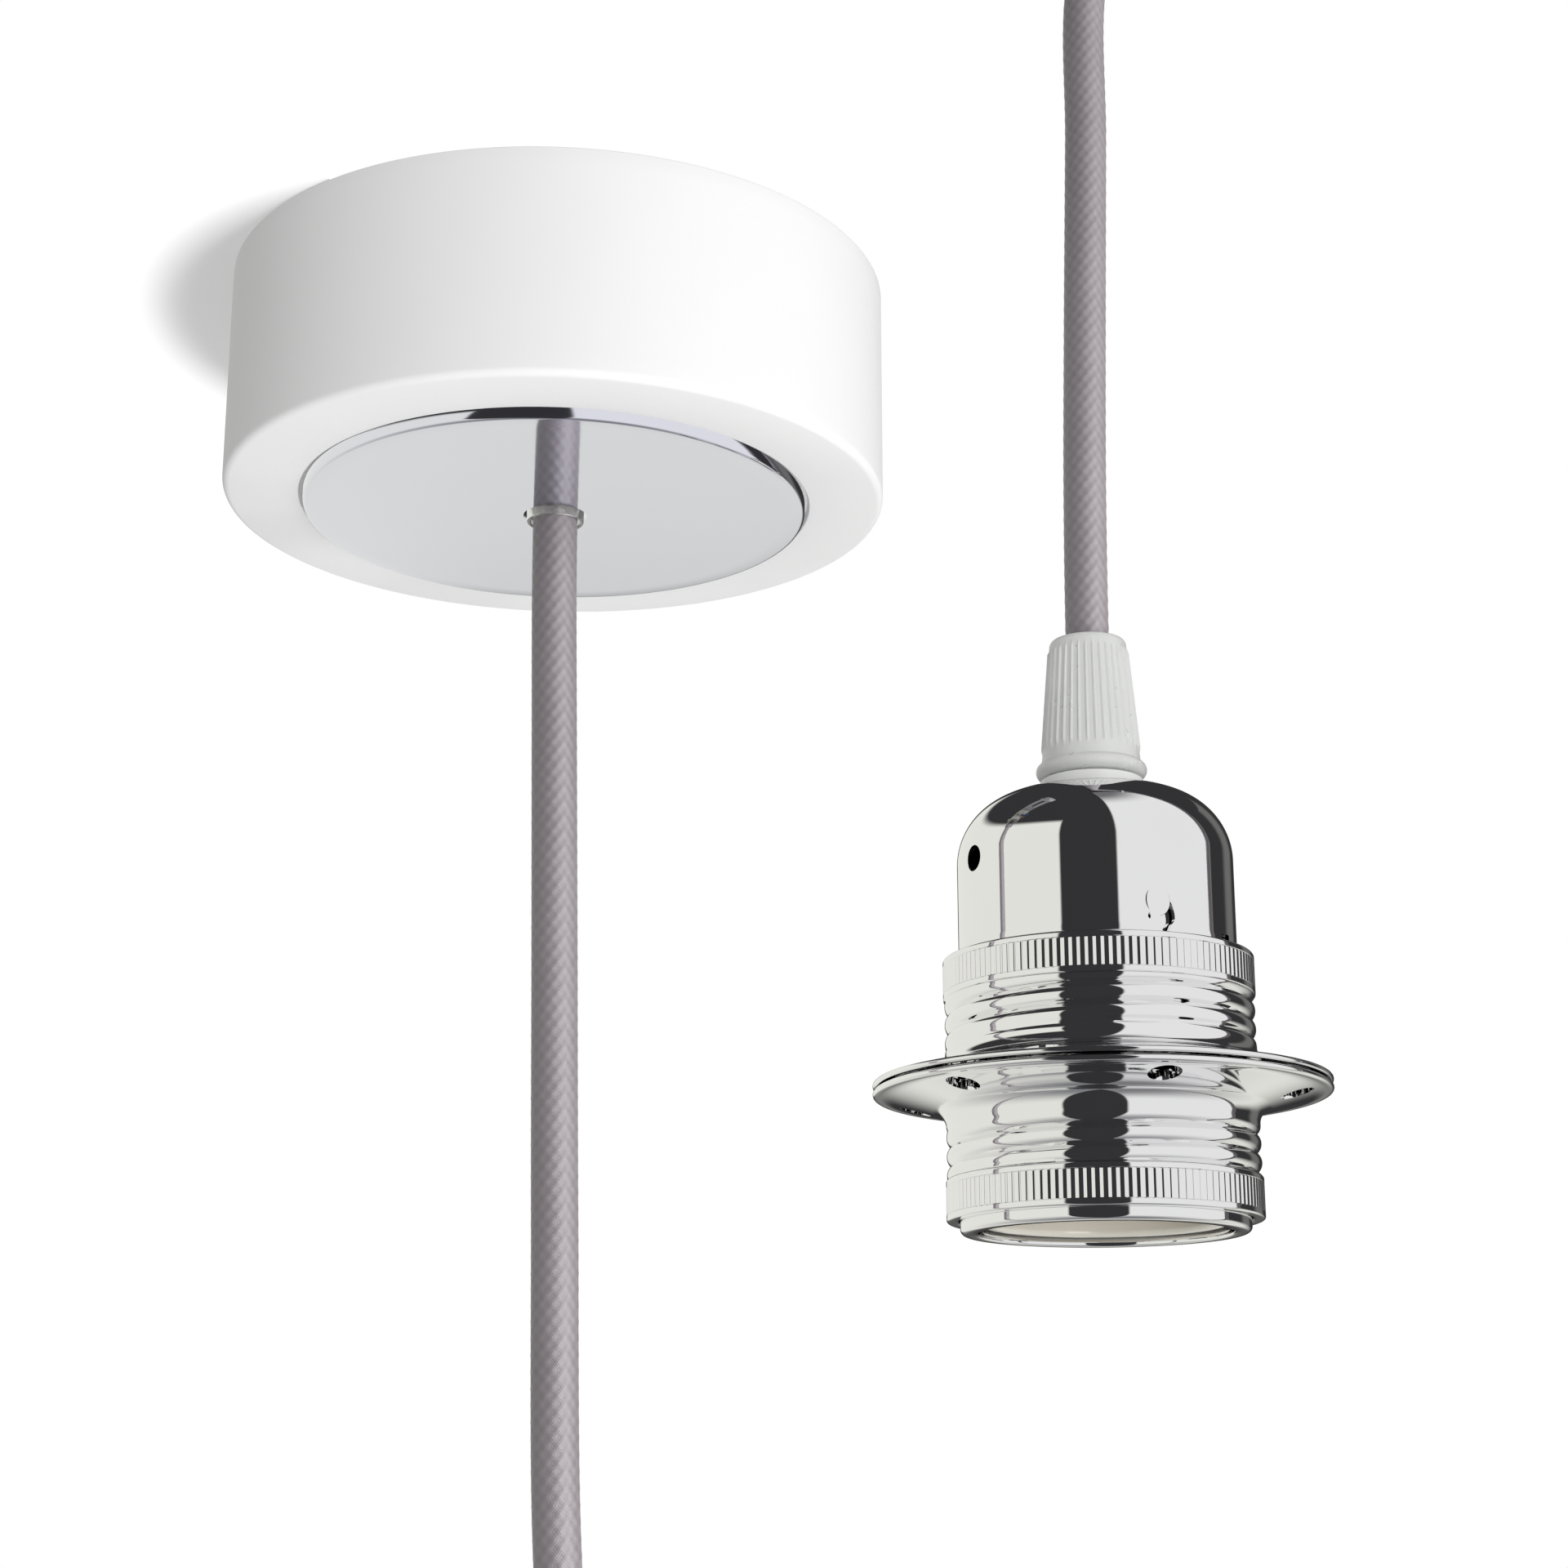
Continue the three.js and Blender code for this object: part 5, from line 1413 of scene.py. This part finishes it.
class StudioSky(NodeWork):
    """World shader: white behind the object, even light on it, and soft panels in its gloss."""

    def __init__(self, ambient, side):
        world = bpy.data.worlds.new("studio")
        bpy.context.scene.world = world
        world.use_nodes = True
        super().__init__(world.node_tree)
        self.nodes.clear()
        path = self.node("ShaderNodeLightPath").outputs
        x, y, z = self.node("ShaderNodeSeparateXYZ", {
            "Vector": self.node("ShaderNodeTexCoord").outputs["Generated"]}).outputs
        glow = self.math("ADD", self.math("MULTIPLY", x, side / 2), ambient + side / 2)
        lit = self.blend(path["Is Glossy Ray"], self.light(WHITE, glow), self.light(self.panels(x, y, z)))
        clear = self.math("MAXIMUM", path["Is Camera Ray"], path["Is Transmission Ray"])
        shown = self.blend(clear, lit, self.light(WHITE))
        self.node("ShaderNodeOutputWorld", {0: shown})

    def light(self, rgb, strength=1.0):
        return self.node("ShaderNodeBackground", {"Color": rgb, "Strength": strength}).outputs[0]

    def blend(self, factor, first, second):
        return self.node("ShaderNodeMixShader", {0: factor, 1: first, 2: second}).outputs[0]

    def ramp(self, value, start, end):
        """0 below start and 1 above end, smooth between."""
        return self.node("ShaderNodeMapRange", {
            "Value": value, "From Min": start, "From Max": end},
            interpolation_type="SMOOTHSTEP").outputs[0]

    def band(self, value, low, high, soft):
        """1 between low and high, and 0 outside."""
        rise = self.ramp(value, low - soft, low + soft)
        fall = self.ramp(value, high - soft, high + soft)
        return self.math("SUBTRACT", rise, fall, clamp=True)

    def panels(self, x, y, z):
        """Colour that gloss sees in a direction."""
        azimuth = self.math("MULTIPLY", self.math("ARCTAN2", x, self.math("MULTIPLY", y, -1.0)),
                            180 / math.pi)
        height = self.math("MULTIPLY", self.math("ARCSINE", z), 180 / math.pi)
        front = self.band(azimuth, *DARK_FRONT, PANEL_EDGE)
        back = self.math("MAXIMUM",
                         self.ramp(azimuth, DARK_BACK[0] - BACK_EDGE, DARK_BACK[0] + BACK_EDGE),
                         self.ramp(azimuth, DARK_BACK[1] + BACK_EDGE, DARK_BACK[1] - BACK_EDGE))
        streak = self.math("MULTIPLY", self.band(azimuth, *STREAK, 5), 0.15)
        back = self.math("MULTIPLY", back, self.math("SUBTRACT", 1.0, streak))
        back = self.math("MULTIPLY", back, self.ramp(height, *BACK_RISE))
        right = self.band(azimuth, DARK_FRONT[1], DARK_BACK[0], PANEL_EDGE)
        canopy = self.math("MULTIPLY", self.ramp(height, *CANOPY), self.math("SUBTRACT", 1.0, right))
        dark = self.math("MAXIMUM", self.math("MAXIMUM", front, back), canopy)
        left = self.mix(self.ramp(height, *LEFT_RISE), LEFT_FOOT, PALE_LEFT)
        pale = self.mix(self.ramp(height, *RIGHT_RISE), RIGHT_FOOT, PALE_RIGHT)
        pale = self.mix(self.ramp(height, *RIGHT_TOP_RISE), pale, RIGHT_TOP)
        return self.mix(dark, self.mix(right, left, pale), DARK)


class PENDANT_OT_stage(bpy.types.Operator):
    """Ceiling, floor, lamps, studio light and camera"""
    bl_idname = "pendant.stage"
    bl_label = "Stage"

    def execute(self, context):
        settings = context.scene.pendant_stage
        floor_z = CAD_BOX[0].z - settings.floor_drop
        stage_plane("floor", rectangle(FLOOR_SIZE, FLOOR_SIZE), floor_z,
                    stage_material("pale_floor", (0.9, 0.9, 0.9), 0.3))
        stage_plane("ceiling", CEILING_PATCH, 0.04 * MM,
                    stage_material("pale_ceiling", (0.8, 0.8, 0.8), 0.17))
        # The photo joins two shots, so the holder's chrome doesn't mirror the rose
        for name in ROSE_PIECES:
            bpy.data.objects[name].visible_glossy = False
        key = area_lamp("key", (0.33, -0.572, -0.2), WHOLE_SET, 0.3, 0.7, settings.key)
        link_lamp(key, CHROME_PIECES | {"ceiling"}, "EXCLUDE")
        satin = area_lamp("satin", (0.62, -0.32, -0.22), WHOLE_SET, 0.3, 0.8, settings.satin)
        link_lamp(satin, {"textile_cord"}, "INCLUDE")
        lift = area_lamp("lift", (0.26, -0.02, -0.65), ROSE_CENTRE, 0.16, 0.16, settings.lift, seen=False)
        link_lamp(lift, ROSE_PIECES, "INCLUDE")
        link_lamp(lift, ROSE_PIECES | {"textile_cord"}, "INCLUDE", "blocker")
        wash = area_lamp("wash", (0.217, -0.195, -0.65), ROSE_CENTRE, 0.16, 0.16, settings.wash,
                         seen=False)
        link_lamp(wash, {"ceiling"}, "INCLUDE")
        link_lamp(wash, {"rose_cup"}, "INCLUDE", "blocker")
        StudioSky(settings.ambient, settings.side)
        context.scene.view_settings.view_transform = "Standard"
        add_camera()
        return {"FINISHED"}


class PENDANT_PT_panel(bpy.types.Panel):
    """Lists the pieces of the pendant cord set"""
    bl_idname = "PENDANT_PT_panel"
    bl_label = "Pendant cord set"
    bl_space_type = "VIEW_3D"
    bl_region_type = "UI"
    bl_category = "Pendant"

    def draw(self, context):
        for operator in OPERATORS:
            self.layout.operator(operator.bl_idname)
        for name, group in GROUPS.items():
            box = self.layout.box()
            box.label(text=name.replace("pendant_", "").capitalize())
            for key in group.__annotations__:
                box.prop(getattr(context.scene, name), key)


OPERATORS = [
    PENDANT_OT_cord, PENDANT_OT_rose, PENDANT_OT_rings, PENDANT_OT_shell, PENDANT_OT_socket,
    PENDANT_OT_grip, PENDANT_OT_fittings, PENDANT_OT_stage,
]
GROUPS = {
    "pendant_rose": PENDANT_PG_rose,
    "pendant_cord": PENDANT_PG_cord,
    "pendant_rings": PENDANT_PG_rings,
    "pendant_dome": PENDANT_PG_dome,
    "pendant_socket": PENDANT_PG_socket,
    "pendant_grip": PENDANT_PG_grip,
    "pendant_stage": PENDANT_PG_stage,
}


def register():
    for name, group in GROUPS.items():
        bpy.utils.register_class(group)
        setattr(bpy.types.Scene, name, PointerProperty(type=group))
    for item in [*OPERATORS, PENDANT_PT_panel]:
        bpy.utils.register_class(item)


def unregister():
    for item in [PENDANT_PT_panel, *reversed(OPERATORS)]:
        bpy.utils.unregister_class(item)
    for name, group in GROUPS.items():
        delattr(bpy.types.Scene, name)
        bpy.utils.unregister_class(group)


def main():
    register()
    bpy.ops.pendant.cord()
    bpy.ops.pendant.rose()
    bpy.ops.pendant.rings()
    bpy.ops.pendant.shell()
    bpy.ops.pendant.socket()
    bpy.ops.pendant.grip()
    bpy.ops.pendant.fittings()
    bpy.ops.pendant.stage()


if __name__ == "__main__":
    main()
